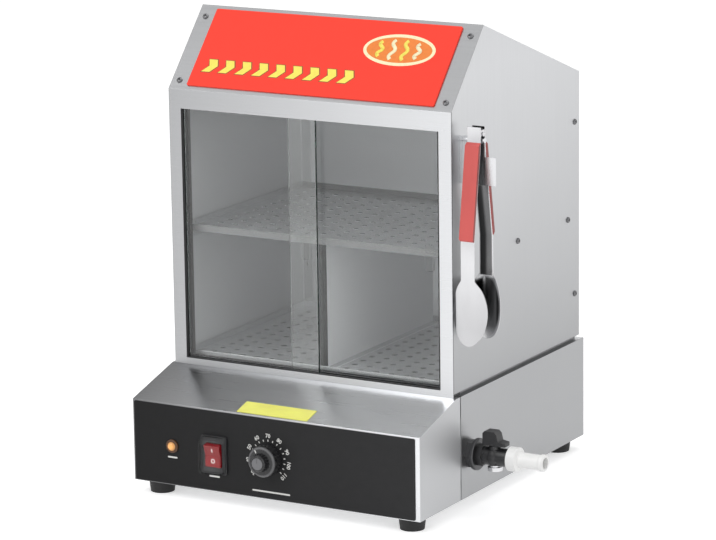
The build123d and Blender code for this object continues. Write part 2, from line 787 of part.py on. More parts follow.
# ================================================================ drain
pipe_inner = 8.0  # drain pipe, from its open end inside to the tank's wall
pipe_flange = 2.5
locknut_corner = 16.5
collar_round = 1.2
valve_x = side_x + locknut_length + collar_length
valve_middle = valve_x + valve_length / 2
pipe_start = tank_x - pipe_inner
pipe_end = side_x + locknut_length
with BuildPart() as drain_pipe:
    pipe_begin = (pipe_start, drain_y, drain_z)
    rod(pipe_begin, "X", pipe_end - pipe_start, pipe_diameter / 2)
    rod(pipe_begin, "X", tank_x - sheet - pipe_start, pipe_diameter / 2 + pipe_flange)
    rod(pipe_begin, "X", pipe_end - pipe_start, pipe_bore / 2, Mode.SUBTRACT)
save(drain_pipe.part, "drain_pipe")

nut_seats.append(
    (
        Plane((side_x, drain_y, drain_z), x_dir=(0, 1, 0), z_dir=(1, 0, 0)),
        locknut_corner,
        pipe_diameter / 2 + hole_play,
        locknut_length,
    )
)

with BuildPart() as hex_nuts:
    for seat, corner, bore, height in nut_seats:
        with BuildSketch(seat):
            RegularPolygon(corner, 6)
            Circle(bore, mode=Mode.SUBTRACT)
        extrude(amount=height)
save(hex_nuts.part, "hex_nuts")

with BuildPart() as drain_collar:
    rod((pipe_end, drain_y, drain_z), "X", collar_length, collar_diameter / 2)
    fillet(drain_collar.edges().filter_by(GeomType.CIRCLE), collar_round)
    rod((pipe_end, drain_y, drain_z), "X", collar_length, waterway / 2 + 1, Mode.SUBTRACT)
save(drain_collar.part, "drain_collar")

stem_boss_top = 13.0
stem_boss_radius = 7.0
body_swell = 1.0  # valve's round middle, over its tube
valve_hex = (13.0, 7.0)  # corner radius and length of the hexagon end
ball_play = 0.4
stem_start = 5.6  # stem's foot, inside the ball
lever_skin = 3.0  # lever's top, over the stem's end
stem_end = drain_z + lever_top - lever_skin
valve_axis = (valve_x, drain_y, drain_z)
valve_center = (valve_middle, drain_y, drain_z)
with BuildPart() as valve_body:
    rod(valve_axis, "X", valve_length, valve_diameter / 2)
    with Locations(valve_center):
        Sphere(valve_diameter / 2 + body_swell)
    rod(valve_center, "Z", stem_boss_top, stem_boss_radius)
    with BuildSketch(Plane.YZ.offset(valve_x)):
        with Locations((drain_y, drain_z)):
            RegularPolygon(valve_hex[0], 6)
    extrude(amount=valve_hex[1])
    rod(valve_axis, "X", valve_length, waterway / 2, Mode.SUBTRACT)
    with Locations(valve_center):
        Sphere(ball_diameter / 2 + ball_play, mode=Mode.SUBTRACT)
    rod(valve_center, "Z", stem_boss_top, stem_diameter / 2 + running_play, Mode.SUBTRACT)
save(valve_body.part, "valve_body")

cap_depth = 16.0
cap_flange = (8.5, 4.5)  # radius and height of the flange at the cap's foot
cap_neck = 6.5
with BuildPart() as valve_cap:
    cap_low = (valve_middle, drain_y, drain_z - cap_depth)
    rod(cap_low, "Z", cap_flange[1], cap_flange[0])
    rod(cap_low, "Z", cap_depth, cap_neck)
    with Locations(valve_center):
        Sphere(valve_diameter / 2 + body_swell, mode=Mode.SUBTRACT)
    rod(valve_axis, "X", valve_length, valve_diameter / 2, Mode.SUBTRACT)
save(valve_cap.part, "valve_cap")

with BuildPart() as valve_ball:
    with Locations(valve_center):
        Sphere(ball_diameter / 2)
    rod((valve_middle - ball_diameter / 2, drain_y, drain_z), "X", ball_diameter, waterway / 2, Mode.SUBTRACT)
    stem_foot = drain_z + stem_start
    rod((valve_middle, drain_y, stem_foot), "Z", stem_end - stem_foot, stem_diameter / 2)
save(valve_ball.part, "valve_ball")

lever_rear = 13.0  # lever behind its stem, towards the cabinet
lever_crown = (3.0, 2.0)  # bevel of the crown, and its reach in front of the stem
lever_waist = (7.0, 19.0)  # where the crown ends, and its height above the axis
tongue_drop = 1.5
lever_round = 1.5
with BuildPart() as valve_lever:
    bevel, crown_end = lever_crown
    hub_low = drain_z + stem_boss_top + 2 * touch_gap + hole_play
    crown_top = drain_z + lever_top
    waist_z = drain_z + lever_waist[1]
    with BuildSketch(Plane.XZ.offset(-drain_y)):
        with BuildLine():
            Polyline(
                (valve_middle - lever_rear, hub_low),
                (valve_middle - lever_rear, crown_top - bevel),
                (valve_middle - lever_rear + bevel, crown_top),
                (valve_middle + crown_end, crown_top),
                (valve_middle + crown_end + bevel, crown_top - bevel),
                (valve_middle + lever_waist[0], waist_z),
                (valve_middle + lever_length, waist_z - tongue_drop),
                (valve_middle + lever_length, hub_low),
                close=True,
            )
        make_face()
    extrude(amount=lever_width / 2, both=True)
    fillet(valve_lever.edges().filter_by(Axis.Z), lever_round)
    rod(valve_center, "Z", lever_top - lever_skin, stem_diameter / 2 + hole_play / 2, Mode.SUBTRACT)
save(valve_lever.part, "valve_lever")

collar_reach = 11.0
collar_slope = 1.5
bead_start, bead_end = 6.0, 1.0  # hose bead, from the spout's end
bead_height = 0.9
spout_x = valve_x + valve_length
spout_end = spout_x + spout_length
spout_outline = [
    (spout_x, spout_bore / 2),
    (spout_x, spout_collar / 2),
    (spout_x + collar_reach, spout_collar / 2),
    (spout_x + collar_reach + collar_slope, spout_diameter / 2),
    (spout_end - bead_start, spout_diameter / 2),
    (spout_end - bead_start + collar_slope, spout_diameter / 2 + bead_height),
    (spout_end - bead_end, spout_diameter / 2 + bead_height),
    (spout_end, spout_diameter / 2),
    (spout_end, spout_bore / 2),
]
with BuildPart() as drain_spout:
    with BuildSketch(Plane.XZ.offset(-drain_y)):
        with BuildLine():
            Polyline(*[(x, drain_z + radius) for x, radius in spout_outline], close=True)
        make_face()
    revolve(axis=Axis((0, drain_y, drain_z), (1, 0, 0)))
save(drain_spout.part, "drain_spout")

# ================================================================ cabinet
# Profile of the cabinet seen from the side, as (y, z), and the same profile one
# sheet further in. The walls of the wrap lie between the two, mitred at the folds.
outline = [
    (face_y, base_top),
    (face_y, sign_foot_height),
    (face_y + peak_run, peak_height),
    (cabinet_rear_y, eave_height),
    (cabinet_rear_y, cabinet_bottom),
]


def inner_corner(before, here, after):
    """The corner of the profile, one sheet further in."""
    into = math.atan2(here[1] - before[1], here[0] - before[0])
    out = math.atan2(after[1] - here[1], after[0] - here[0])
    middle = (into + out) / 2 - math.pi / 2
    reach = sheet / math.cos((out - into) / 2)
    return (here[0] + reach * math.cos(middle), here[1] + reach * math.sin(middle))


inside = [(face_y + sheet, base_top)]
inside += [inner_corner(*outline[i - 1 : i + 2]) for i in (1, 2, 3)]
inside += [(cabinet_rear_y - sheet, cabinet_bottom)]


def wrap_profile(i):
    """Outline points of the wrap's wall number i."""
    return [outline[i], outline[i + 1], inside[i + 1], inside[i]]


# ---------------------------------------------------------------- seal under the cabinet
seal_x = cabinet_x - seal_inset
seal_rear = cabinet_rear_y - seal_inset
seal_front = track_rear + sheet
with BuildPart() as cabinet_seal:
    block((-seal_x, seal_x), (seal_front, seal_rear), (base_top, cabinet_bottom))
    block(
        (-seal_x + seal_width, seal_x - seal_width),
        (seal_front, seal_rear - seal_width),
        (base_top, cabinet_bottom),
        Mode.SUBTRACT,
    )
save(cabinet_seal.part, "cabinet_seal")

# ---------------------------------------------------------------- cabinet sides
face_joint = 0.6  # dark line between the front frame and each side
corner_screw_heights = (194.0, 402.0)
corner_screw_inset = 12.0
rail_screw_drop = 6.0
rail_screw_insets = (30.0, 159.0)  # from the cabinet's rear
bracket_screw_heights = (8.0, 24.0)  # above the bracket's lower edge
bracket_screw_back = 10.0  # behind the bracket's plate
rail_screw_z = shelf_height - rail_screw_drop
corner_screws = [(cabinet_rear_y - corner_screw_inset, z) for z in corner_screw_heights]
rail_screws = [(cabinet_rear_y - inset, rail_screw_z) for inset in rail_screw_insets]
wall_x = cabinet_x - sheet  # inner face of each side
with BuildPart() as cabinet_side_left:
    with BuildSketch(Plane.YZ.offset(-cabinet_x)):
        with BuildLine():
            Polyline(
                (inside[0][0] + face_joint, cabinet_bottom),
                (inside[0][0] + face_joint, inside[1][1]),
                *inside[1:],
                close=True,
            )
        make_face()
    extrude(amount=sheet)
    block(
        (-wall_x, -wall_x + flange),
        (seal_front, cabinet_rear_y - sheet),
        (cabinet_bottom, cabinet_bottom + sheet),
    )
    for y, z in corner_screws + rail_screws:
        rod((-cabinet_x, y, z), "X", sheet, screw_diameter / 2, Mode.SUBTRACT)
save(cabinet_side_left.part, "cabinet_side_left")

tongs_x = cabinet_x + tongs_reach
tongs_y = face_y + tongs_back
pivot_z = tongs_top - pivot_drop
bracket_top = pivot_z - bracket_drop
bracket_bottom = bracket_top - bracket_height
bracket_screws = [(tongs_y + bracket_screw_back, bracket_bottom + up) for up in bracket_screw_heights]
with BuildPart() as cabinet_side_right:
    mirror(objects=cabinet_side_left.part, about=Plane.YZ)
    for y, z in bracket_screws:
        rod((wall_x, y, z), "X", sheet, screw_diameter / 2, Mode.SUBTRACT)
save(cabinet_side_right.part, "cabinet_side_right")

screw_planes += [
    Plane((side * cabinet_x, y, z), x_dir=(0, 1, 0), z_dir=(side, 0, 0))
    for side in (-1, 1)
    for y, z in corner_screws + rail_screws
]

# ---------------------------------------------------------------- front frame
with BuildPart() as front_frame:
    with BuildSketch(Plane.YZ):
        with BuildLine():
            Polyline(*wrap_profile(0), close=True)
        make_face()
    extrude(amount=cabinet_x, both=True)
    block((-window_x, window_x), (face_y, face_y + sheet), (window_bottom, window_top), Mode.SUBTRACT)
save(front_frame.part, "front_frame")

# ---------------------------------------------------------------- sign
sign_margin_x = 23.0  # sign plate, in from the cabinet's sides
sign_margin = 5.4  # and from the slope's lower and upper folds
sign_thickness = 2.0
sign_corner = 2.0
sign_round = 0.5
sign_screw_inset = 10.5
sign_screw_margins = (12.0, 16.3)  # from the slope's lower and upper folds
sign_screws = [
    (x, up)
    for x in (-cabinet_x + sign_screw_inset, cabinet_x - sign_screw_inset)
    for up in (sign_screw_margins[0], sign_length - sign_screw_margins[1])
]
with BuildPart() as sign_panel:
    with BuildSketch(Plane.YZ):
        with BuildLine():
            Polyline(*wrap_profile(1), close=True)
        make_face()
    extrude(amount=cabinet_x, both=True)
    with BuildSketch(sign_plane):
        with Locations(*sign_screws):
            Circle(screw_diameter / 2)
    extrude(amount=-2 * sheet, mode=Mode.SUBTRACT)
save(sign_panel.part, "sign_panel")

with BuildPart() as sign_plate:
    with BuildSketch(sign_plane):
        with Locations((0, sign_length / 2)):
            RectangleRounded(2 * (cabinet_x - sign_margin_x), sign_length - 2 * sign_margin, sign_corner)
    extrude(amount=sign_thickness)
    front_edges = sign_plate.edges().group_by(Axis(sign_plane.origin, sign_plane.z_dir))[-1]
    fillet(front_edges, sign_round)
save(sign_plate.part, "sign_plate")

screw_planes += [
    Plane(
        sign_plane.from_local_coords(Vector(x, up, 0)),
        x_dir=sign_plane.x_dir,
        z_dir=sign_plane.z_dir,
    )
    for x, up in sign_screws
]

# ---------------------------------------------------------------- roof and rear panel
with BuildPart() as roof_panel:
    with BuildSketch(Plane.YZ):
        with BuildLine():
            Polyline(*wrap_profile(2), close=True)
        make_face()
    extrude(amount=cabinet_x, both=True)
save(roof_panel.part, "roof_panel")

fold_clear_bottom = 9.0
fold_clear_top = 20.0
with BuildPart() as cabinet_rear_panel:
    with BuildSketch(Plane.YZ):
        with BuildLine():
            Polyline(*wrap_profile(3), close=True)
        make_face()
    extrude(amount=cabinet_x, both=True)
    for side in (-1, 1):
        block(
            (side * wall_x, side * (wall_x - sheet)),
            (cabinet_rear_y - rear_fold, cabinet_rear_y - sheet),
            (cabinet_bottom + fold_clear_bottom, eave_height - fold_clear_top),
        )
    for y, z in corner_screws:
        rod((-cabinet_x, y, z), "X", 2 * cabinet_x, screw_diameter / 2, Mode.SUBTRACT)
    block(
        (-wall_x + flange, wall_x - flange),
        (cabinet_rear_y - sheet - flange, cabinet_rear_y - sheet),
        (cabinet_bottom, cabinet_bottom + sheet),
    )
save(cabinet_rear_panel.part, "cabinet_rear_panel")

# ================================================================ doors
groove_depth = 5.0
track_roof = 2.0  # above the grooves of the top track
jamb_cover = 2.0  # jamb seals, past the frame's edge
jamb_x = window_x - jamb_cover  # face of each jamb seal that the panes close on
groove_floor = base_top + track_lip - groove_depth
track_top = window_top + top_track_lip
pane_top = window_top + pane_cover
pane_ground = 0.4


def door_track(name, low, high, groove_low, groove_high):
    """A moulded track with one groove for each pane."""
    with BuildPart() as track:
        block((-wall_x, wall_x), (face_y + sheet, track_rear), (low, high))
        for pane_y in (outer_pane_y, inner_pane_y):
            block(
                (-jamb_x, jamb_x),
                (pane_y - groove / 2, pane_y + groove / 2),
                (groove_low, groove_high),
                Mode.SUBTRACT,
            )
    save(track.part, name)


door_track("door_track_bottom", base_top, base_top + track_lip, groove_floor, base_top + track_lip)
door_track("door_track_top", window_top, track_top, window_top, track_top - track_roof)

with BuildPart() as jamb_seals:
    for side in (-1, 1):
        block(
            (side * jamb_x, side * wall_x),
            (face_y + sheet, track_rear),
            (base_top + track_lip, window_top),
        )
save(jamb_seals.part, "jamb_seals")


def glass_door(name, low_x, high_x, pane_y):
    """One sliding pane with ground edges."""
    with BuildPart() as door:
        block(
            (low_x, high_x),
            (pane_y - glass / 2, pane_y + glass / 2),
            (groove_floor + touch_gap, pane_top),
        )
        chamfer(door.edges().filter_by(Axis.Z), pane_ground)
    save(door.part, name)


glass_door("glass_door_left", -jamb_x + touch_gap, left_pane_edge, outer_pane_y)
glass_door("glass_door_right", right_pane_edge, jamb_x - touch_gap, inner_pane_y)

pull_corner = 3.0
pull_bevel = 0.5
pull_insets = (14.0, 16.0)  # left pull from its pane's free edge, right pull from the jamb


def door_pull(name, x, pane_y):
    """A small clear finger pull on the front of a pane."""
    front = pane_y - glass / 2
    with BuildPart() as pull:
        block(
            (x - pull_size[0] / 2, x + pull_size[0] / 2),
            (front - pull_thickness, front),
            (pull_height - pull_size[1] / 2, pull_height + pull_size[1] / 2),
        )
        fillet(pull.edges().filter_by(Axis.Y), pull_corner)
        chamfer(pull.edges().group_by(Axis.Y)[0], pull_bevel)
    save(pull.part, name)


door_pull("door_pull_left", left_pane_edge - pull_insets[0], outer_pane_y)
door_pull("door_pull_right", jamb_x - pull_insets[1], inner_pane_y)

# ================================================================ trays inside
tray_play = 2.0
tray_x = wall_x - tray_play
tray_front = track_rear + tray_play
tray_rear = cabinet_rear_y - rear_fold - tray_play
tray_middle = (tray_front + tray_rear) / 2
hole_columns = int((2 * tray_x - tray_pitch) / tray_pitch)
hole_rows = int((tray_rear - tray_front - tray_pitch) / tray_pitch)


def perforated_tray(name, floor_z):
    """A tray with a low lip all round and a grid of steam holes."""
    with BuildPart() as tray:
        block((-tray_x, tray_x), (tray_front, tray_rear), (floor_z, floor_z + tray_lip))
        offset(amount=-sheet, openings=tray.faces().sort_by(Axis.Z)[-1])
        with BuildSketch(Plane.XY.offset(floor_z)):
            with Locations((0, tray_middle)):
                with GridLocations(tray_pitch, tray_pitch, hole_columns, hole_rows):
                    Circle(tray_hole / 2)
        extrude(amount=sheet, mode=Mode.SUBTRACT)
    save(tray.part, name)


lower_tray_z = cabinet_bottom + sheet
perforated_tray("bun_tray", shelf_height)
perforated_tray("lower_tray", lower_tray_z)

with BuildPart() as shelf_rails:
    rail_rear = cabinet_rear_y - rear_fold - sheet
    for side in (-1, 1):
        block(
            (side * wall_x, side * (wall_x - sheet)),
            (tray_front, rail_rear),
            (shelf_height - rail_drop, shelf_height),
        )
        block(
            (side * wall_x, side * (wall_x - rail_width)),
            (tray_front, rail_rear),
            (shelf_height - sheet, shelf_height),
        )
    for y, z in rail_screws:
        rod((-cabinet_x, y, z), "X", 2 * cabinet_x, screw_diameter / 2, Mode.SUBTRACT)
save(shelf_rails.part, "shelf_rails")

with BuildPart() as divider_plate:
    divider_low = lower_tray_z + sheet
    divider_high = shelf_height - sheet
    divider_front = tray_front + divider_setback
    divider_rear = tray_rear - 2 * sheet
    block((-sheet / 2, sheet / 2), (divider_front, divider_rear), (divider_low, divider_high))
    block(
        (-divider_edge, divider_edge),
        (divider_front - sheet, divider_front),
        (divider_low, divider_high),
    )
    block(
        (-divider_foot_width, divider_foot_width),
        (divider_front, divider_rear),
        (divider_low, divider_low + sheet),
    )
save(divider_plate.part, "divider_plate")

# ================================================================ tongs
tip_z = tongs_top - tongs_length
shoulder_z = pivot_z - shoulder_drop
spread_z = shoulder_z - slant_length
spoon_top = tip_z + spoon_length
spoon_steps = 8
spoon_scallop = 0.93
spoon_lap = 4.0  # strip runs this far down over the spoon's top
ear_reach = 4.0  # pivot ears, past the pivot
ear_low, ear_high = 1.8, 5.0  # below and above the pivot
pin_tail = 1.2
pin_head_thickness = 1.0


def arm_line(outwards, side):
    """Points (y, z) down one arm's outer face, moved outwards by an amount."""
    shoulder = side * (arm_shoulder + outwards)
    spread = side * (arm_spread + outwards)
    return [
        (tongs_y + shoulder, tongs_top),
        (tongs_y + shoulder, shoulder_z),
        (tongs_y + spread, spread_z),
        (tongs_y + spread, spoon_top - spoon_lap),
    ]


def on_slant(line, z):
    """The point at a height on an arm's slanted stretch."""
    part = (line[1][1] - z) / (line[1][1] - line[2][1])
    return (line[1][0] + part * (line[2][0] - line[1][0]), z)


def spoon_outline():
    """Points (x, z) of the scalloped spoon end."""
    points = []
    for i in range(2 * spoon_steps):
        angle = math.pi * i / spoon_steps
        reach = spoon_width / 2 * (spoon_scallop if i % 2 else 1.0)
        middle = tip_z + spoon_length / 2
        points.append((tongs_x + reach * math.sin(angle), middle - spoon_length / 2 * math.cos(angle)))
    return points


def tong_arm(name, side, ear_inset):
    """One arm: a strip with two pivot ears and a cupped, scalloped end."""
    spoon_y = tongs_y + side * arm_spread
    with BuildPart() as spoon:
        with BuildSketch(Plane.XZ.offset(-spoon_y)):
            with BuildLine():
                Polyline(*spoon_outline(), close=True)
            make_face()
        extrude(amount=spoon_width / 2, both=True)
        with BuildSketch(Plane.XY.offset(tip_z)):
            with Locations((tongs_x, spoon_y - side * spoon_radius)):
                Circle(spoon_radius)
                Circle(spoon_radius - arm_sheet, mode=Mode.SUBTRACT)
        extrude(amount=spoon_length, mode=Mode.INTERSECT)
        block(
            (tongs_x - spoon_width, tongs_x + spoon_width),
            (spoon_y + side * arm_sheet, spoon_y - side * spoon_width / 2),
            (tip_z, spoon_top),
            Mode.INTERSECT,
        )
    with BuildPart() as arm:
        with BuildSketch(Plane.YZ.offset(tongs_x)):
            with BuildLine():
                Polyline(*arm_line(0, side), *arm_line(-arm_sheet, side)[::-1], close=True)
            make_face()
        extrude(amount=arm_width / 2, both=True)
        for ear in (-1, 1):
            ear_x = tongs_x + ear * (arm_width / 2 - ear_inset)
            block(
                (ear_x, ear_x - ear * arm_sheet),
                (tongs_y + side * (arm_shoulder - arm_sheet / 2), tongs_y - side * ear_reach),
                (pivot_z - ear_low, pivot_z + ear_high),
            )
        pin_hole_start = (tongs_x - arm_width / 2, tongs_y, pivot_z)
        pin_hole_radius = tong_pin_diameter / 2 + running_play
        rod(pin_hole_start, "X", arm_width, pin_hole_radius, Mode.SUBTRACT)
        add(spoon.part)
    save(arm.part, name)


tong_arm("tong_arm_front", -1, 0.0)
tong_arm("tong_arm_rear", 1, arm_sheet + touch_gap)

grip_side = 0.5  # grip past the arm's edges
grip_end = 3.0
grip_round = 1.0


def tong_grip(name, side):
    """The grip on one arm's outer face."""
    low = arm_line(0, side)
    high = arm_line(grip_thickness, side)
    top = shoulder_z - sheet
    bottom = top - grip_length
    with BuildPart() as grip:
        with BuildSketch(Plane.YZ.offset(tongs_x)):
            with BuildLine():
                Polyline(
                    on_slant(low, top),
                    on_slant(high, top - grip_end),
                    on_slant(high, bottom + grip_end),
                    on_slant(low, bottom),
                    close=True,
                )
            make_face()
        extrude(amount=arm_width / 2 + grip_side, both=True)
        outer_face = grip.faces().sort_by(Axis.Y)[-1 if side > 0 else 0]
        fillet(outer_face.edges(), grip_round)
    save(grip.part, name)


tong_grip("tong_grip_front", -1)
tong_grip("tong_grip_rear", 1)

with BuildPart() as tong_pin:
    pin_x = tongs_x - arm_width / 2 - pin_tail
    pin_length = arm_width + 2 * pin_tail
    rod((pin_x, tongs_y, pivot_z), "X", pin_length, tong_pin_diameter / 2)
    rod((pin_x, tongs_y, pivot_z), "X", pin_head_thickness, tong_pin_head / 2)
    head_x = pin_x + pin_length - pin_head_thickness
    rod((head_x, tongs_y, pivot_z), "X", pin_head_thickness, tong_pin_head / 2)
save(tong_pin.part, "tong_pin")


def coil_point(turn):
    """A point on the spring's centreline and the direction it runs in there."""
    angle = 2 * math.pi * turn
    radius = spring_coil / 2
    start = tongs_x - spring_pitch * spring_turns / 2
    point = Vector(
        start + spring_pitch * turn,
        tongs_y + radius * math.cos(angle),
        pivot_z + radius * math.sin(angle),
    )
    direction = Vector(
        spring_pitch,
        -2 * math.pi * radius * math.sin(angle),
        2 * math.pi * radius * math.cos(angle),
    )
    return point, direction.normalized()


# Each quarter turn is two arcs that meet on one tangent.
with BuildPart() as tong_spring:
    with BuildLine() as coil_path:
        for quarter in range(4 * spring_turns):
            start, start_way = coil_point(quarter / 4)
            end, end_way = coil_point((quarter + 1) / 4)
            across = end - start
            ways = start_way + end_way
            spare = 4 - ways.dot(ways)
            along = across.dot(ways)
            reach = (math.sqrt(along**2 + spare * across.dot(across)) - along) / spare
            first_corner = start + start_way * reach
            second_corner = end - end_way * reach
            middle = (first_corner + second_corner) / 2
            TangentArc(start, middle, tangent=start_way)
            TangentArc(middle, end, tangent=second_corner - first_corner)
    coil_start, coil_way = coil_point(0)
    with BuildSketch(Plane(origin=coil_start, z_dir=coil_way)):
        Circle(spring_wire / 2)
    sweep(path=coil_path.line)
save(tong_spring.part, "tong_spring")
print("spring gap between turns, mm:", round(spring_pitch - spring_wire, 2))

bracket_foot = 18.0  # depth of the foot folded off the plate, against the cabinet
peg_z = pivot_z - (spring_coil + spring_wire) / 2 - touch_gap - peg_diameter / 2
with BuildPart() as tong_bracket:
    plate_y = (tongs_y - arm_sheet / 2, tongs_y + arm_sheet / 2)
    block((cabinet_x, cabinet_x + bracket_reach), plate_y, (bracket_bottom, bracket_top))
    block((cabinet_x, cabinet_x + peg_length), plate_y, (bracket_top, peg_z))
    block(
        (cabinet_x, cabinet_x + arm_sheet),
        (plate_y[0], plate_y[0] + bracket_foot),
        (bracket_bottom, peg_z),
    )
    rod((cabinet_x, tongs_y, peg_z), "X", peg_length, peg_diameter / 2)
    for y, z in bracket_screws:
        rod((cabinet_x, y, z), "X", arm_sheet, screw_diameter / 2, Mode.SUBTRACT)
save(tong_bracket.part, "tong_bracket")

screw_planes += [
    Plane((cabinet_x + arm_sheet, y, z), x_dir=(0, 1, 0), z_dir=(1, 0, 0)) for y, z in bracket_screws
]

# ================================================================ screws
with BuildPart() as pan_screws:
    for seat in screw_planes:
        with BuildSketch(seat):
            Circle(screw_head / 2)
        extrude(amount=screw_head_height)
        with BuildSketch(seat):
            Circle(screw_diameter / 2 - hole_play)
        extrude(amount=-screw_length)
save(pan_screws.part, "pan_screws")
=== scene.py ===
"""Finishes, printed plates, fasteners, small trim and studio stage of a counter-top steamer."""
import json
import math

import bmesh
import bpy
from bpy.props import FloatProperty, FloatVectorProperty, IntProperty, PointerProperty
from mathutils import Matrix, Vector
from mathutils.bvhtree import BVHTree

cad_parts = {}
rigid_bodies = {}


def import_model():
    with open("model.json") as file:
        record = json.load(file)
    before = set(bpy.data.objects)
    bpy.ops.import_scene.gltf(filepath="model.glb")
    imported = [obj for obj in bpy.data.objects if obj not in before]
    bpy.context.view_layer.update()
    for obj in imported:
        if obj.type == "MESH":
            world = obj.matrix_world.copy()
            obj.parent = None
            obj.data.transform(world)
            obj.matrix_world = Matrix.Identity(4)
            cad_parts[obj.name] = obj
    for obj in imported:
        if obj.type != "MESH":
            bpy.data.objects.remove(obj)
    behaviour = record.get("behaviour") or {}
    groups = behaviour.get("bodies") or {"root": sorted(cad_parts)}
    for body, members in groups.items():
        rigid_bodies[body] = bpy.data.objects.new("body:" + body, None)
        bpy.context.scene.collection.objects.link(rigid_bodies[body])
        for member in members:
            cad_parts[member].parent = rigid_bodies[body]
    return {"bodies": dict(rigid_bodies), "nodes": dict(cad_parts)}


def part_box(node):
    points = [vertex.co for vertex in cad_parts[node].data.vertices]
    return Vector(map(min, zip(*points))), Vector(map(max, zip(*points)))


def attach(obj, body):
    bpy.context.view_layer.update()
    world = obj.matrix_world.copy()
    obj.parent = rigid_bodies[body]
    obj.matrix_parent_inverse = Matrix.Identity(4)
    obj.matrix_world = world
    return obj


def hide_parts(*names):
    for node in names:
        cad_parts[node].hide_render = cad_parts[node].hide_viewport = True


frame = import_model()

bl_info = {
    "name": "Counter Steamer Dressing",
    "version": (1, 0, 0),
    "blender": (4, 5, 0),
    "location": "3D View > Sidebar > Steamer",
    "description": "Finishes, prints, fasteners and studio stage of a counter-top steamer",
    "category": "Object",
}

MM = 0.001
NODES = frame["nodes"]
Y_AXIS, Z_AXIS = Vector((0, 1, 0)), Vector((0, 0, 1))

# ---------------------------------------------------------------- places


def plane(origin, right, up):
    """Matrix that lays x along right, y along up and z outwards, from an origin in millimetres."""
    right = Vector(right).normalized()
    up = Vector(up).normalized()
    turn = Matrix((right, up, right.cross(up))).transposed().to_4x4()
    return Matrix.Translation(Vector(origin) * MM) @ turn


PANEL = plane((0, -205, 0), (1, 0, 0), (0, 0, 1))
SIGN = plane((0, -118, 463), (1, 0, 0), (0, 78, 87))
RIGHT_SIDE = plane((185, 0, 0), (0, 1, 0), (0, 0, 1))
LEFT_SIDE = plane((-185, 0, 0), (0, -1, 0), (0, 0, 1))
BRACKET = plane((186.5, 0, 0), (0, 1, 0), (0, 0, 1))
REAR = plane((0, 205, 0), (-1, 0, 0), (0, 0, 1))
DIAL = PANEL @ Matrix.Translation(Vector((-6.5, 64, 0)) * MM)

SIDE_SCREWS = ((189, 402), (189, 194), (171, 287), (42, 287))
BRACKET_SCREWS = ((-88, 388.5), (-88, 404.5))
REAR_SCREWS = ((-181, 48), (-181, 108), (181, 48), (181, 108))
SIGN_SCREWS = ((-174.5, 12), (174.5, 12), (-174.5, 100.55), (174.5, 100.55))
SCREWS = (
    (RIGHT_SIDE, SIDE_SCREWS),
    (LEFT_SIDE, tuple((-y, z) for y, z in SIDE_SCREWS)),
    (BRACKET, BRACKET_SCREWS),
    (REAR, REAR_SCREWS),
    (SIGN, SIGN_SCREWS),
)

# ---------------------------------------------------------------- colours


def shown(red, green, blue):
    """Scene-linear colour that shows as the given 0 to 255 display values."""

    def channel(value):
        value /= 255
        return value / 12.92 if value <= 0.04045 else ((value + 0.055) / 1.055) ** 2.4

    return tuple(channel(v) for v in (red, green, blue))


def colour(name, described, default):
    """A colour that the user may change."""
    return FloatVectorProperty(
        name=name, description=described, subtype="COLOR", size=3, min=0.0, max=1.0, default=default
    )


def length(name, described, millimetres):
    """A length that the user may change, given in millimetres."""
    return FloatProperty(
        name=name,
        description=described,
        subtype="DISTANCE",
        unit="LENGTH",
        min=0.0,
        default=millimetres * MM,
    )


def count(name, described, default):
    """A number of pieces that the user may change."""
    return IntProperty(name=name, description=described, min=1, default=default)


class SteamerSizes(bpy.types.PropertyGroup):
    """Sizes of the pieces that are made here."""

    screw_radius: length("Screw head radius", "Radius of a pan-head screw's head", 3.5)
    screw_height: length("Screw head height", "Height of a screw's head above the sheet", 2.2)
    recess_width: length("Recess width", "Width of each arm of the cross recess", 1.0)
    ink: length("Print thickness", "How far a print stands on its plate", 0.12)
    dial_radius: length("Dial radius", "Middle of the ring of numbers round the knob", 27.0)
    numeral_height: length("Numeral height", "Height of the numbers on the dial", 6.4)
    numeral_weight: length("Numeral weight", "How much thicker the numbers' strokes are", 0.14)
    tick_length: length("Tick length", "Length of the marks between the numbers", 2.6)
    tick_count: count("Ticks", "Marks round the dial, from its first number to its last", 17)
    chevron_count: count("Chevrons", "Chevrons in the row on the sign", 9)
    chevron_pitch: length("Chevron pitch", "Distance from one chevron to the next", 22.5)
    chevron_width: length("Chevron width", "Width of one chevron's stroke", 11.0)
    chevron_height: length("Chevron height", "Height of the row of chevrons", 17.0)
    badge_width: length("Badge width", "Width of the oval badge on the sign", 92.0)
    badge_height: length("Badge height", "Height of the oval badge on the sign", 42.0)


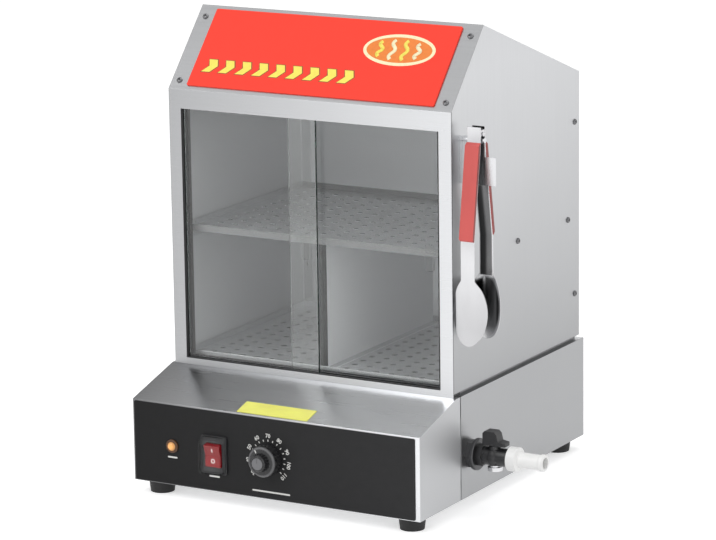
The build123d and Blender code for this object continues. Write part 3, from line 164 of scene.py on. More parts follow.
class SteamerColours(bpy.types.PropertyGroup):
    """Colours of the finishes."""

    steel: colour("Steel", "Brushed stainless sheet", shown(206, 207, 209))
    bright_steel: colour("Bright steel", "Polished stainless", shown(206, 206, 208))
    panel: colour("Panel", "Black control panel", shown(44, 44, 45))
    sign: colour("Sign", "Red of the sign plate", shown(249, 68, 52))
    print_yellow: colour("Print yellow", "Yellow of the sign's print", shown(250, 232, 96))
    print_cream: colour("Print cream", "Cream of the sign's print", shown(250, 240, 196))
    print_orange: colour("Print orange", "Orange of the sign's print", shown(238, 132, 48))
    print_brown: colour("Print brown", "Thin brown edge round the chevrons", shown(150, 82, 36))
    print_white: colour("Print white", "White of the dial's print", shown(225, 225, 222))
    notice: colour("Notice plate", "Yellow of the blank plate on the slope", shown(255, 252, 118))
    grip: colour("Grip", "Red of the tongs' grips", shown(210, 90, 86))
    rocker: colour("Rocker", "Red of the rocker switch", shown(122, 2, 10))
    lens: colour("Lens", "Amber of the indicator lamp", shown(222, 158, 88))
    bezel: colour("Lamp bezel", "Brown amber of the lamp's rim", shown(84, 50, 18))
    screw: colour("Screws", "Dull steel of the screw heads", shown(118, 118, 120))
    spout: colour("Spout", "White of the drain's spout", shown(244, 244, 243))
    plastic: colour("Black plastic", "Moulded black plastic", shown(36, 36, 38))
    rubber: colour("Rubber", "Black rubber of feet and seals", shown(26, 26, 27))
    seal: colour("Cabinet seal", "Grey rubber between cabinet and base", shown(170, 170, 172))
    brass: colour("Brass", "Brass of the drain's pipe", shown(196, 168, 110))


# ---------------------------------------------------------------- nodes

MIX_FACTOR, MIX_A, MIX_B, MIX_RESULT = 0, 6, 7, 2
FLAT = 0.6  # part of a face's unit normal along an axis, above which it looks that way


def wire(tree, kind, inputs=None, **settings):
    """Add a node with its settings, and feed each input a value or a socket."""
    node = tree.nodes.new(kind)
    for name, value in settings.items():
        setattr(node, name, value)
    for socket, value in (inputs or {}).items():
        if isinstance(value, bpy.types.NodeSocket):
            tree.links.new(value, node.inputs[socket])
        else:
            node.inputs[socket].default_value = value
    return node


def calc(tree, operation, first, second=0.0, third=0.0):
    """The result of a Math node."""
    node = wire(tree, "ShaderNodeMath", {0: first, 1: second, 2: third}, operation=operation)
    return node.outputs[0]


def parts_of(tree, vector):
    """The three parts of a vector."""
    return wire(tree, "ShaderNodeSeparateXYZ", {0: vector}).outputs


def vector_of(tree, **parts):
    """A vector of the parts X, Y and Z. A part that isn't given is zero."""
    return wire(tree, "ShaderNodeCombineXYZ", parts).outputs[0]


def distance(tree, first, second):
    """The length of a vector with two parts."""
    squares = [calc(tree, "MULTIPLY", part, part) for part in (first, second)]
    return calc(tree, "SQRT", calc(tree, "ADD", *squares))


def between(tree, factor, low, high):
    """A number between two, by a factor."""
    sockets = {0: factor, 2: low, 3: high}
    return wire(tree, "ShaderNodeMix", sockets, data_type="FLOAT").outputs[0]


def start_finish(name):
    """A new material with an empty tree, and its object coordinates."""
    material = bpy.data.materials.new(name)
    material.use_nodes = True
    tree = material.node_tree
    tree.nodes.clear()
    return material, tree, wire(tree, "ShaderNodeTexCoord").outputs["Object"]


def noise(tree, coords, scale, detail, turn=(0.0, 0.0, 0.0)):
    """Noise of so many waves per metre, one number or one for each axis."""
    scale = scale if isinstance(scale, tuple) else (scale,) * 3
    place = wire(tree, "ShaderNodeMapping", {"Vector": coords, "Rotation": turn, "Scale": scale})
    field = {"Vector": place.outputs[0], "Scale": 1.0, "Detail": detail, "Roughness": 0.55}
    return wire(tree, "ShaderNodeTexNoise", field).outputs["Fac"]


def cell_edges(tree, coords, scale, randomness):
    """The distance from the edges of small cells."""
    cells = {"Vector": coords, "Scale": scale, "Randomness": randomness}
    node = wire(tree, "ShaderNodeTexVoronoi", cells, feature="DISTANCE_TO_EDGE")
    return node.outputs["Distance"]


def spread(tree, socket, low, high, start=0.32, end=0.68):
    """The socket's middle range stretched from low to high."""
    ends = {"Value": socket, "From Min": start, "From Max": end, "To Min": low, "To Max": high}
    return wire(tree, "ShaderNodeMapRange", ends).outputs[0]


def tint(tree, factor, low, high, **settings):
    """A colour between two, by a factor."""
    sockets = {MIX_FACTOR: factor}
    for socket, value in ((MIX_A, low), (MIX_B, high)):
        sockets[socket] = value if isinstance(value, bpy.types.NodeSocket) else (*value, 1.0)
    return wire(tree, "ShaderNodeMix", sockets, data_type="RGBA", **settings).outputs[MIX_RESULT]


def shade(base, amount):
    """A colour made darker or lighter by a share."""
    return tuple(min(1.0, channel * amount) for channel in base)


def mottled(tree, field, base, low, high):
    """A colour that wavers between two shares of itself with a noise."""
    return tint(tree, spread(tree, field, 0.0, 1.0), shade(base, low), shade(base, high))


def slope_tone(tree, coords, tone, axis, span, levels):
    """A colour whose level changes evenly along an axis, between two places in millimetres."""
    start, end = (place * MM for place in span)
    share = spread(tree, parts_of(tree, coords)[axis], *levels, start, end)
    level = wire(tree, "ShaderNodeCombineColor", {0: share, 1: share, 2: share})
    return tint(tree, 1.0, tone, level.outputs[0], blend_type="MULTIPLY")


def facing(tree, axis, toward):
    """One on faces that look along an axis (0 to 2): toward its plus end, its minus end or both."""
    part = parts_of(tree, tree.nodes["Texture Coordinate"].outputs["Normal"])[axis]
    looks = calc(tree, "MULTIPLY", part, toward) if toward else calc(tree, "ABSOLUTE", part)
    return calc(tree, "GREATER_THAN", looks, FLAT)


def close_finish(tree, base, rough, height, bump, depth, edge=0.0, **others):
    """Principled surface whose colour, roughness and bump come from nodes.

    Depth, of the bump, and edge, a rounding that only shows, are in millimetres. Others are inputs
    of the shader, with underscores for spaces.
    """
    inputs = {name.replace("_", " "): value for name, value in others.items()}
    inputs |= {"Base Color": base, "Roughness": rough}
    surface = wire(tree, "ShaderNodeBsdfPrincipled", inputs)
    relief = {"Height": height, "Strength": bump, "Distance": depth * MM}
    if edge:
        rounding = wire(tree, "ShaderNodeBevel", {"Radius": edge * MM}, samples=4)
        relief["Normal"] = rounding.outputs[0]
    normal = wire(tree, "ShaderNodeBump", relief).outputs[0]
    tree.links.new(normal, surface.inputs["Normal"])
    wire(tree, "ShaderNodeOutputMaterial", {"Surface": surface.outputs[0]})
    return surface


def steel_finish(name, base, grain, rough, painted_gradients=(), dull_and_painted_faces=(), metal=1.0):
    """Brushed stainless sheet with its grain along X, Y or Z.

    Each painted gradient is painted light and shade: an axis, a span and two levels that the
    sheet's tone runs between.
    Each of the dull and painted faces is an axis, a direction, a share of metal and a tone, painted
    light or painted shade, for the faces that look that way.
    """
    material, tree, coords = start_finish(name)
    along, across = 9.0, 900.0  # waves of the grain per metre
    grain_share, cloud_share = 0.4, 0.6
    waver, dull_roughness = 0.03, 0.16
    lines = noise(tree, coords, tuple(along if axis == grain else across for axis in "XYZ"), 4.0)
    clouds = calc(tree, "MULTIPLY", noise(tree, coords, 7.0, 2.0), cloud_share)
    factor = calc(tree, "MULTIPLY_ADD", spread(tree, lines, 0.0, 1.0), grain_share, clouds)
    tone = tint(tree, factor, shade(base, 0.93), shade(base, 1.05))
    marks = spread(tree, lines, rough - waver, rough + waver)
    share = metal
    for drift in painted_gradients:
        # painted light and shade: the tone runs lighter or darker along an axis
        tone = slope_tone(tree, coords, tone, *drift)
    for axis, toward, metal_there, level in dull_and_painted_faces:
        # painted light or painted shade on the faces that look one way, which are also less
        # metallic and rougher
        there = facing(tree, axis, toward)
        tone = tint(tree, there, tone, shade(base, level))
        share = calc(tree, "MULTIPLY_ADD", there, metal_there - metal, share)
        marks = calc(tree, "MULTIPLY_ADD", there, dull_roughness, marks)
    close_finish(tree, tone, marks, lines, 0.02, 0.05, 0.5, Metallic=share)
    return material


def bright_finish(name, base, rough):
    """Polished metal with fine wiping marks and faint smudges."""
    material, tree, coords = start_finish(name)
    smudge = noise(tree, coords, 60.0, 4.0)
    wipes = noise(tree, coords, (1200.0, 300.0, 60.0), 2.0, turn=(0.4, 0.3, 0.0))
    tone = mottled(tree, smudge, base, 0.9, 1.05)
    marks = spread(tree, smudge, rough - 0.04, rough + 0.09)
    close_finish(tree, tone, marks, wipes, 0.06, 0.03, 0.3, Metallic=1.0)
    return material


def moulded_finish(
    name, base, rough, grain=2600.0, bump=0.25, edge=0.4, wear=0.05, drift=None, **others
):
    """Moulded plastic, rubber or paint: fine grain, faint scuffs. The painted gradient is painted
    light, as for brushed sheet.
    """
    material, tree, coords = start_finish(name)
    pores = noise(tree, coords, grain, 2.0)
    scuffs = noise(tree, coords, (90.0, 60.0, 120.0), 5.0)
    tone = mottled(tree, scuffs, base, 1.0 - wear, 1.0 + wear)
    if drift:
        # painted light along an axis
        tone = slope_tone(tree, coords, tone, *drift)
    marks = spread(tree, scuffs, rough - 0.05, rough + 0.06)
    close_finish(tree, tone, marks, pores, bump, 0.05, edge, **others)
    return material


def clear_finish(name, face, side, rough, side_rough, ior=1.45, **others):
    """Clear pane square to Y that lets lamps through. Its cut edges have their own tint."""
    material, tree, coords = start_finish(name)
    rim = calc(tree, "SUBTRACT", 1.0, facing(tree, 1, 0))
    smears = noise(tree, coords, (30.0, 30.0, 12.0), 5.0)
    film = spread(tree, smears, rough, rough + 0.05)
    marks = calc(tree, "MULTIPLY_ADD", rim, side_rough, film)
    ripple = noise(tree, coords, 9.0, 1.0)
    tone = tint(tree, rim, face, side)
    others |= {"Transmission_Weight": 1.0, "IOR": ior}
    surface = close_finish(tree, tone, marks, ripple, 0.02, 0.2, **others)
    through = wire(tree, "ShaderNodeBsdfTransparent", {"Color": (*face, 1.0)})
    shadow = wire(tree, "ShaderNodeLightPath").outputs["Is Shadow Ray"]
    mix = {0: shadow, 1: surface.outputs[0], 2: through.outputs[0]}
    mixed = wire(tree, "ShaderNodeMixShader", mix)
    tree.links.new(mixed.outputs[0], tree.nodes["Material Output"].inputs["Surface"])
    return material


def print_finish(name, base, rough=0.45):
    """Printing ink or cut vinyl: slightly uneven cover and a fine tooth."""
    material, tree, coords = start_finish(name)
    cover = noise(tree, coords, 240.0, 3.0)
    tooth = noise(tree, coords, 3200.0, 1.0)
    tone = mottled(tree, cover, base, 0.93, 1.03)
    close_finish(tree, tone, spread(tree, cover, rough - 0.05, rough + 0.06), tooth, 0.08, 0.02)
    return material


def dress(material, names):
    """Give CAD nodes, named in one string, a finish."""
    for name in names.split():
        for slot in NODES[name].material_slots:
            slot.material = material


# ---------------------------------------------------------------- meshes

SHARP = math.radians(35)  # edges of a smaller angle are shaded smooth


def add_object(name, data):
    """A new object in the scene."""
    thing = bpy.data.objects.new(name, data)
    bpy.context.scene.collection.objects.link(thing)
    return thing


def bake(thing):
    """The plain mesh that an object comes to. The object is removed."""
    graph = bpy.context.evaluated_depsgraph_get()
    mesh = bpy.data.meshes.new_from_object(thing.evaluated_get(graph), depsgraph=graph)
    bpy.data.objects.remove(thing)
    return mesh


def add_piece(name, mesh, body, material=None):
    """Show a finished mesh as a piece that rides on a body."""
    piece = add_object(name, mesh)
    if material is not None:
        mesh.materials.append(material)
    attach(piece, body)
    return piece


def prism(form, outline, high):
    """Add a closed slab of a height over an outline that runs anticlockwise."""
    under, over = ([form.verts.new((x, y, z)) for x, y in outline] for z in (0.0, high))
    form.faces.new(over)
    form.faces.new(under[::-1])
    for i in range(len(outline)):
        j = (i + 1) % len(outline)
        form.faces.new((under[i], under[j], over[j], over[i]))


def ring_slab(form, outer, inner, high):
    """Add a closed ring of a height between two outlines that run anticlockwise."""
    outer_low, outer_high, inner_low, inner_high = (
        [form.verts.new((x, y, z)) for x, y in line] for line in (outer, inner) for z in (0.0, high)
    )
    total = len(outer)
    for i in range(total):
        j = (i + 1) % total
        form.faces.new((outer_low[i], outer_low[j], outer_high[j], outer_high[i]))
        form.faces.new((inner_low[j], inner_low[i], inner_high[i], inner_high[j]))
        form.faces.new((outer_high[i], outer_high[j], inner_high[j], inner_high[i]))
        form.faces.new((outer_low[j], outer_low[i], inner_low[i], inner_low[j]))


def oval(width, height, steps=64):
    """Points of an oval, anticlockwise."""
    turns = [2 * math.pi * i / steps for i in range(steps)]
    return [(width / 2 * math.cos(turn), height / 2 * math.sin(turn)) for turn in turns]


def bar(width, height, middle=(0.0, 0.0), steps=6):
    """Points of a bar with round ends, anticlockwise."""
    radius = height / 2
    reach = width / 2 - radius
    points = []
    for side, start in ((1, -math.pi / 2), (-1, math.pi / 2)):
        for i in range(steps + 1):
            turn = start + math.pi * i / steps
            x = middle[0] + side * reach + radius * math.cos(turn)
            points.append((x, middle[1] + radius * math.sin(turn)))
    return points


def upright_bar(width, height, middle=(0.0, 0.0)):
    """Points of a tall bar with round ends, anticlockwise."""
    return [(middle[0] + y, middle[1] - x) for x, y in bar(height, width)]


def form_to_mesh(name, form, place=None, ink=None):
    """Close a bmesh as a mesh, laid on a plane, with an ink."""
    if place is not None:
        form.transform(place)
    mesh = bpy.data.meshes.new(name)
    form.to_mesh(mesh)
    form.free()
    if ink is not None:
        mesh.materials.append(ink)
    return mesh


def slab(name, outline, high, place=None, ink=None):
    """A mesh of one slab."""
    form = bmesh.new()
    prism(form, outline, high)
    return form_to_mesh(name, form, place, ink)


def merged_copy(mesh):
    """A bmesh copy of a CAD node's loose triangles, merged along their edges."""
    form = bmesh.new()
    form.from_mesh(mesh)
    bmesh.ops.remove_doubles(form, verts=form.verts, dist=0.001 * MM)
    return form


def smooth(mesh):
    """Shade a mesh smooth, with sharp edges kept."""
    form = bmesh.new()
    form.from_mesh(mesh)
    for face in form.faces:
        face.smooth = True
    for edge in form.edges:
        edge.smooth = edge.is_manifold and edge.calc_face_angle() < SHARP
    form.to_mesh(mesh)
    form.free()


# ---------------------------------------------------------------- geometry nodes


def start_tree(name, sockets):
    """A geometry tree with inputs named in a dictionary of kinds, and its input node's sockets."""
    tree = bpy.data.node_groups.new(name, "GeometryNodeTree")
    for label, kind in {"Geometry": "Geometry", **sockets}.items():
        tree.interface.new_socket(label, in_out="INPUT", socket_type="NodeSocket" + kind)
    tree.interface.new_socket("Geometry", in_out="OUTPUT", socket_type="NodeSocketGeometry")
    return tree, tree.nodes.new("NodeGroupInput").outputs


def close_tree(tree, geometry, material):
    """End a tree in Realize Instances and Set Material."""
    real = wire(tree, "GeometryNodeRealizeInstances", {"Geometry": geometry}).outputs[0]
    coated = wire(tree, "GeometryNodeSetMaterial", {"Geometry": real, "Material": material})
    wire(tree, "NodeGroupOutput", {"Geometry": coated.outputs[0]})


def copies(tree, points, piece, **turns):
    """Copies of a piece on points."""
    inputs = {"Points": points, "Instance": piece, **turns}
    return wire(tree, "GeometryNodeInstanceOnPoints", inputs).outputs[0]


def grow(name, tree, carrier_mesh, values):
    """The plain mesh that a tree grows on a carrier."""
    carrier = add_object(name + "_carrier", carrier_mesh)
    modifier = carrier.modifiers.new(tree.name, "NODES")
    modifier.node_group = tree
    for item in tree.interface.items_tree:
        if item.in_out == "INPUT" and item.name in values:
            modifier[item.identifier] = values[item.name]
    grown = bake(carrier)
    grown.name = name
    if not grown.polygons:
        raise RuntimeError(f"the tree {tree.name} grew nothing for {name}")
    return grown


def points_mesh(name, places):
    """Loose points, each with the direction that its piece faces."""
    mesh = bpy.data.meshes.new(name)
    mesh.from_pydata([tuple(point) for point, outward in places], [], [])
    attribute = mesh.attributes.new("facing", "FLOAT_VECTOR", "POINT")
    for i, (point, outward) in enumerate(places):
        attribute.data[i].vector = outward
    return mesh


def screw_tree():
    """Pan-head screws with a cross recess, one on each point, each turned by chance."""
    sockets = {"Head Radius": "Float", "Head Height": "Float", "Recess Width": "Float"}
    tree, given = start_tree("Pan-head screws", {**sockets, "Steel": "Material"})
    radius, height, width = given["Head Radius"], given["Head Height"], given["Recess Width"]
    dome, dome_power = -0.55, 3.0  # fall of the head's edge, as a share of its height
    arm_reach, arm_depth = 1.15, 1.1  # of the recess's cutters, as shares of radius and height
    shape = {"Vertices": 28, "Side Segments": 2, "Fill Segments": 5}
    shape |= {"Radius": radius, "Depth": height}
    head = wire(tree, "GeometryNodeMeshCylinder", shape).outputs["Mesh"]
    raised = vector_of(tree, Z=calc(tree, "MULTIPLY", height, 0.5))
    seated = wire(tree, "GeometryNodeTransform", {"Geometry": head, "Translation": raised})
    parts = parts_of(tree, wire(tree, "GeometryNodeInputPosition").outputs[0])
    out = distance(tree, parts[0], parts[1])
    fall = calc(tree, "POWER", calc(tree, "DIVIDE", out, radius), dome_power)
    risen = calc(tree, "MULTIPLY", fall, calc(tree, "DIVIDE", parts[2], height))
    offset = vector_of(tree, Z=calc(tree, "MULTIPLY", risen, calc(tree, "MULTIPLY", height, dome)))
    shift = {"Geometry": seated.outputs[0], "Offset": offset}
    domed = wire(tree, "GeometryNodeSetPosition", shift).outputs[0]
    cut = wire(tree, "GeometryNodeMeshBoolean", {"Mesh 1": domed}, operation="DIFFERENCE")
    reach = calc(tree, "MULTIPLY", radius, arm_reach)
    deep = calc(tree, "MULTIPLY", height, arm_depth)
    top = vector_of(tree, Z=height)
    for first, second in ((reach, width), (width, reach)):
        size = vector_of(tree, X=first, Y=second, Z=deep)
        cutter = wire(tree, "GeometryNodeMeshCube", {"Size": size}).outputs["Mesh"]
        arm = wire(tree, "GeometryNodeTransform", {"Geometry": cutter, "Translation": top})
        tree.links.new(arm.outputs[0], cut.inputs["Mesh 2"])
    outward = wire(
        tree, "GeometryNodeInputNamedAttribute", {"Name": "facing"}, data_type="FLOAT_VECTOR"
    ).outputs["Attribute"]
    stand = wire(tree, "FunctionNodeAlignRotationToVector", {"Vector": outward}, axis="Z")
    ends = {2: 0.0, 3: math.pi / 2, "Seed": 7}
    chance = wire(tree, "FunctionNodeRandomValue", ends, data_type="FLOAT").outputs[1]
    turns = {"Rotation": stand.outputs[0], "Rotate By": vector_of(tree, Z=chance)}
    turned = wire(tree, "FunctionNodeRotateRotation", turns, rotation_space="LOCAL")
    placed = copies(tree, given["Geometry"], cut.outputs["Mesh"], Rotation=turned.outputs[0])
    close_tree(tree, placed, given["Steel"])
    return tree


def row_tree():
    """Copies of one piece in a row along X, from the first place."""
    sockets = {"Count": "Int", "Pitch": "Float", "Ink": "Material"}
    tree, given = start_tree("Row of pieces", sockets)
    steps = {"Count": given["Count"], "Offset": vector_of(tree, X=given["Pitch"])}
    line = wire(tree, "GeometryNodeMeshLine", steps)
    close_tree(tree, copies(tree, line.outputs[0], given["Geometry"]), given["Ink"])
    return tree


def fan_tree():
    """Copies of one piece round the Z axis, turned evenly from a first angle to a last one."""
    sockets = {"Count": "Int", "First Angle": "Float", "Last Angle": "Float", "Ink": "Material"}
    tree, given = start_tree("Fan of pieces", sockets)
    steps = {"Count": given["Count"], "Offset": (0.0, 0.0, 0.0)}
    line = wire(tree, "GeometryNodeMeshLine", steps)
    number = wire(tree, "GeometryNodeInputIndex").outputs[0]
    share = calc(tree, "DIVIDE", number, calc(tree, "SUBTRACT", given["Count"], 1.0))
    sweep = calc(tree, "SUBTRACT", given["Last Angle"], given["First Angle"])
    turn = vector_of(tree, Z=calc(tree, "MULTIPLY_ADD", share, sweep, given["First Angle"]))
    placed = copies(tree, line.outputs[0], given["Geometry"], Rotation=turn)
    close_tree(tree, placed, given["Ink"])
    return tree


def wave_tree():
    """A ribbon along a wave, which starts at the origin and runs along X."""
    lengths = {label: "Float" for label in ("Length", "Wave", "Swing", "Width", "Thickness")}
    tree, given = start_tree("Wavy ribbon", {**lengths, "Ink": "Material"})
    end = vector_of(tree, X=given["Length"])
    path = wire(tree, "GeometryNodeCurvePrimitiveLine", {"End": end}).outputs[0]
    points = wire(tree, "GeometryNodeResampleCurve", {"Curve": path, "Count": 60}).outputs[0]
    along = parts_of(tree, wire(tree, "GeometryNodeInputPosition").outputs[0])[0]
    phase = calc(tree, "MULTIPLY", calc(tree, "DIVIDE", along, given["Wave"]), 2 * math.pi)
    swing = calc(tree, "MULTIPLY", calc(tree, "SINE", phase), given["Swing"])
    shift = {"Geometry": points, "Offset": vector_of(tree, Y=swing)}
    curved = wire(tree, "GeometryNodeSetPosition", shift).outputs[0]
    upright = wire(tree, "GeometryNodeSetCurveNormal", {"Curve": curved}, mode="Z_UP").outputs[0]
    box = {"Width": given["Width"], "Height": given["Thickness"]}
    section = wire(tree, "GeometryNodeCurvePrimitiveQuadrilateral", box, mode="RECTANGLE")
    sweep = {"Curve": upright, "Profile Curve": section.outputs[0], "Fill Caps": True}
    close_tree(tree, wire(tree, "GeometryNodeCurveToMesh", sweep).outputs[0], given["Ink"])
    return tree


def join(name, meshes, place=None):
    """One mesh of several, with their materials, laid on a plane."""
    joined = bpy.data.meshes.new(name)
    form = bmesh.new()
    for mesh in meshes:
        first = len(joined.materials)
        for material in mesh.materials:
            joined.materials.append(material)
        start = len(form.faces)
        form.from_mesh(mesh)
        form.faces.ensure_lookup_table()
        for face in form.faces[start:]:
            face.material_index += first
        bpy.data.meshes.remove(mesh)
    if place is not None:
        form.transform(place)
    form.to_mesh(joined)
    form.free()
    return joined


def numeral(body, height, weight, ink):
    """A printed number, middle at the origin, as a closed mesh."""
    curve = bpy.data.curves.new("numeral_" + body, "FONT")
    curve.body = body
    curve.size = height
    curve.align_x = curve.align_y = "CENTER"
    curve.extrude = ink / 2
    curve.offset = weight
    curve.resolution_u = 3
    mesh = bake(add_object("numeral_" + body, curve))
    mesh.transform(Matrix.Translation((0, 0, ink / 2)))
    return mesh


# ---------------------------------------------------------------- operators


class STEAMER_OT_steel(bpy.types.Operator):
    """Brushed steel of the sheets, trays, tank and bracket"""

    bl_idname = "steamer.steel"
    bl_label = "Steel"

    # painted gradients of light and shade: an axis, a span in millimetres and the tone's two levels
    # painted shade: the front frame darker to the left
    across = (0, (-185, 185), (0.63, 1.06))
    # painted shade: the sides darker towards the bottom
    rise = (2, (140, 500), (0.6, 1.06))
    # painted shade: a dark band along the sides' front edge by the frame
    fold_shade = (1, (-116.2, -115.4), (0.3, 1.0))
    # painted light: the control slope darker to the left, lighter to the right
    slope = (0, (-189, 189), (0.42, 1.92))
    divider_faces = ((1, -1, 0.5, 0.08), (0, 1, 0.0, 1.4))  # dull and painted faces: painted shade on the front edge, painted light on the right face
    # finish, level (on some sheets painted light or shade), grain, roughness, painted gradients,
    # dull and painted faces, share of metal and nodes
    sheets = (
        ("front", 0.95, "X", 0.3, (across,), (), 1.0, "front_frame"),
        ("roof", 1.1, "X", 0.32, (), (), 1.0, "roof_panel"),
        ("sign", 0.6, "X", 0.32, (), (), 1.0, "sign_panel"),
        # painted light on the control box's two sides
        ("control", 0.6, "X", 0.3, (slope,), ((0, 0, 0.6, 1.42),), 1.0, "control_box"),
        # painted light on the left side's inner face
        ("side_left", 1.0, "Z", 0.36, (rise, fold_shade), ((0, 1, 0.3, 1.2),), 1.0, "cabinet_side_left"),
        # painted shade: the right side's lower level
        ("side_right", 0.94, "Z", 0.36, (rise, fold_shade), (), 1.0, "cabinet_side_right"),
        ("lower", 0.59, "Z", 0.36, (), (), 1.0, "lower_side_left lower_side_right"),
        # painted light on the rear panel's inner face
        ("rear", 1.0, "X", 0.36, (), ((1, -1, 0.1, 1.45),), 1.0, "cabinet_rear_panel"),
        ("lower_rear", 1.0, "X", 0.36, (), (), 1.0, "lower_rear_panel"),
        ("trays", 1.1, "X", 0.3, (), (), 0.7, "lower_tray shelf_rails"),
        # painted shade on the bun tray's front faces
        ("shelf", 1.1, "X", 0.3, (), ((1, -1, 0.3, 0.3),), 0.7, "bun_tray"),
        ("divider", 1.1, "Z", 0.3, (), divider_faces, 0.7, "divider_plate"),
        ("tank", 0.85, "Y", 0.4, (), (), 1.0, "water_tank base_pan"),
        ("bracket", 1.1, "Z", 0.28, (), (), 1.0, "tong_bracket thermal_cutout"),
    )

    def execute(self, context):
        steel = context.scene.steamer_colours.steel
        for name, level, grain, rough, painted_gradients, dull_and_painted_faces, metal, nodes in self.sheets:
            base = shade(steel, level)
            dress(steel_finish("steel_" + name, base, grain, rough, painted_gradients, dull_and_painted_faces, metal), nodes)
        return {"FINISHED"}


class STEAMER_OT_tong_arms(bpy.types.Operator):
    """The two arms of the tongs, each with a smoothly rounded cup below its strip"""

    bl_idname = "steamer.tong_arms"
    bl_label = "Tong arms"

    strip_width = 16.5
    strip_fade = 0.6  # share of the cup's upper half in which the strip gets its full width
    blend_power = 4
    sheet = 1.5
    cup_height = 76.0
    cup_width = 42.0
    cup_radius = 38.0
    neck = 3.0  # strip made anew above the cup
    first_row = 1.0  # below the strip's cut
    cup_fade = 14.0  # from the first row down to the cup's full hollow
    rows, columns = 40, 16
    tip_turn = 0.06
    # places of the painted highlights and painted shade, as shares of half the cup's width or
    # height, from its middle
    cup_start = 0.93
    painted_highlight_line = -0.12
    highlight_line_sharpness = 9.0
    painted_highlight_tip = (-0.92, -0.6)
    painted_highlight_rim = (0.84, 0.94)
    painted_shade_edge = (0.6, 0.72)
    painted_shade_turn = (-0.15, 0.2)
    painted_shade_levels = (0.06, 0.24, 0.03)  # painted shade: near side, far side and far edge
    painted_foot_shade = ((20, 95), (0.78, 1.0))  # painted shade toward the tip on the outer faces: heights above the tip, levels

    def execute(self, context):
        bright = context.scene.steamer_colours.bright_steel
        for name, side, body in (("front", -1, "tongs"), ("rear", 1, "tong_jaw")):
            self.add_arm(name, side, body, self.arm_finish("tong_steel_" + name, bright, -side))
        return {"FINISHED"}

    def half_width(self, up):
        """Half the width of cup or strip, at a height above the cup's middle."""
        tall, power = self.cup_height / 2, self.blend_power
        cup = self.cup_width / 2 * math.sqrt(max(0.0, 1 - (up / tall) ** 2))
        strip = self.strip_width / 2 * min(1.0, max(0.0, up / tall / self.strip_fade))
        return (cup**power + strip**power) ** (1 / power)

    def add_arm(self, name, side, body, material):
        """One arm. Its strip and ears are kept as built and its cup is made anew."""
        node = "tong_arm_" + name
        low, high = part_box(node)
        axis = (low.x + high.x) / 2
        outer = high.y if side > 0 else low.y
        middle = low.z + self.cup_height / 2 * MM
        top = self.cup_height / 2 + self.neck
        form = merged_copy(NODES[node].data)
        cut = bmesh.ops.bisect_plane(
            form,
            geom=form.verts[:] + form.edges[:] + form.faces[:],
            plane_co=(0, 0, middle + top * MM),
            plane_no=Z_AXIS,
            clear_inner=True,
        )
        corners = [item for item in cut["geom_cut"] if isinstance(item, bmesh.types.BMVert)]
        corners.sort(key=lambda vertex: vertex.co.x)
        layers = []
        for inset in (0.0, self.sheet):
            y = outer - side * inset * MM
            layers.append([[v for v in corners if abs(v.co.y - y) < self.sheet * MM / 2]])
        first = top - self.first_row
        start = math.acos(-first / top)
        for i in range(self.rows + 1):
            turn = start + (self.tip_turn - start) * i / self.rows
            up = -math.cos(turn) * (self.cup_height / 2 + self.neck * turn / start)
            half = self.half_width(up)
            bend = min(1.0, max(0.0, (first - up) / self.cup_fade))
            bend = bend * bend * (3 - 2 * bend)
            for layer, inset in zip(layers, (0.0, self.sheet)):
                row = []
                for j in range(self.columns + 1):
                    x = half * (2 * j / self.columns - 1)
                    dip = bend * (self.cup_radius - math.sqrt(self.cup_radius**2 - x * x))
                    y = outer - side * (dip + inset) * MM
                    row.append(form.verts.new((axis + x * MM, y, middle + up * MM)))
                layer.append(row)
        for edge, below_edge, *others in layers:
            form.faces.new(edge + below_edge[::-1])
            for above, below in zip((below_edge, *others), others):
                for j in range(self.columns):
                    form.faces.new((above[j], above[j + 1], below[j + 1], below[j]))
        for above, below in zip(zip(*layers), list(zip(*layers))[1:]):
            for end in (0, -1):
                form.faces.new((above[0][end], below[0][end], below[1][end], above[1][end]))
        tip, inner_tip = layers[0][-1], layers[1][-1]
        for j in range(self.columns):
            form.faces.new((tip[j], tip[j + 1], inner_tip[j + 1], inner_tip[j]))
        bmesh.ops.recalc_face_normals(form, faces=form.faces)
        mesh = form_to_mesh("arm_" + name, form)
        smooth(mesh)
        piece = add_piece("arm_" + name, mesh, body, material)
        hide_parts(node)

    def arm_finish(self, name, base, inward):
        """Polished steel with painted reflections: painted shade on the inner faces, painted
        highlights on the rim and down the cup, and painted shade toward the tip outside.
        """
        material, tree, coords = start_finish(name)
        low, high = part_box("tong_arm_front")
        cup = self.cup_height / 2 * MM
        parts = parts_of(tree, coords)
        aside = calc(tree, "SUBTRACT", parts[0], (low.x + high.x) / 2)
        out = calc(tree, "DIVIDE", aside, self.cup_width / 2 * MM)
        strip = calc(tree, "DIVIDE", aside, self.strip_width / 2 * MM)
        up = calc(tree, "DIVIDE", calc(tree, "SUBTRACT", parts[2], low.z + cup), cup)
        in_cup = calc(tree, "LESS_THAN", up, self.cup_start)
        across = between(tree, in_cup, strip, out)
        rim = between(tree, in_cup, calc(tree, "ABSOLUTE", strip), distance(tree, out, up))
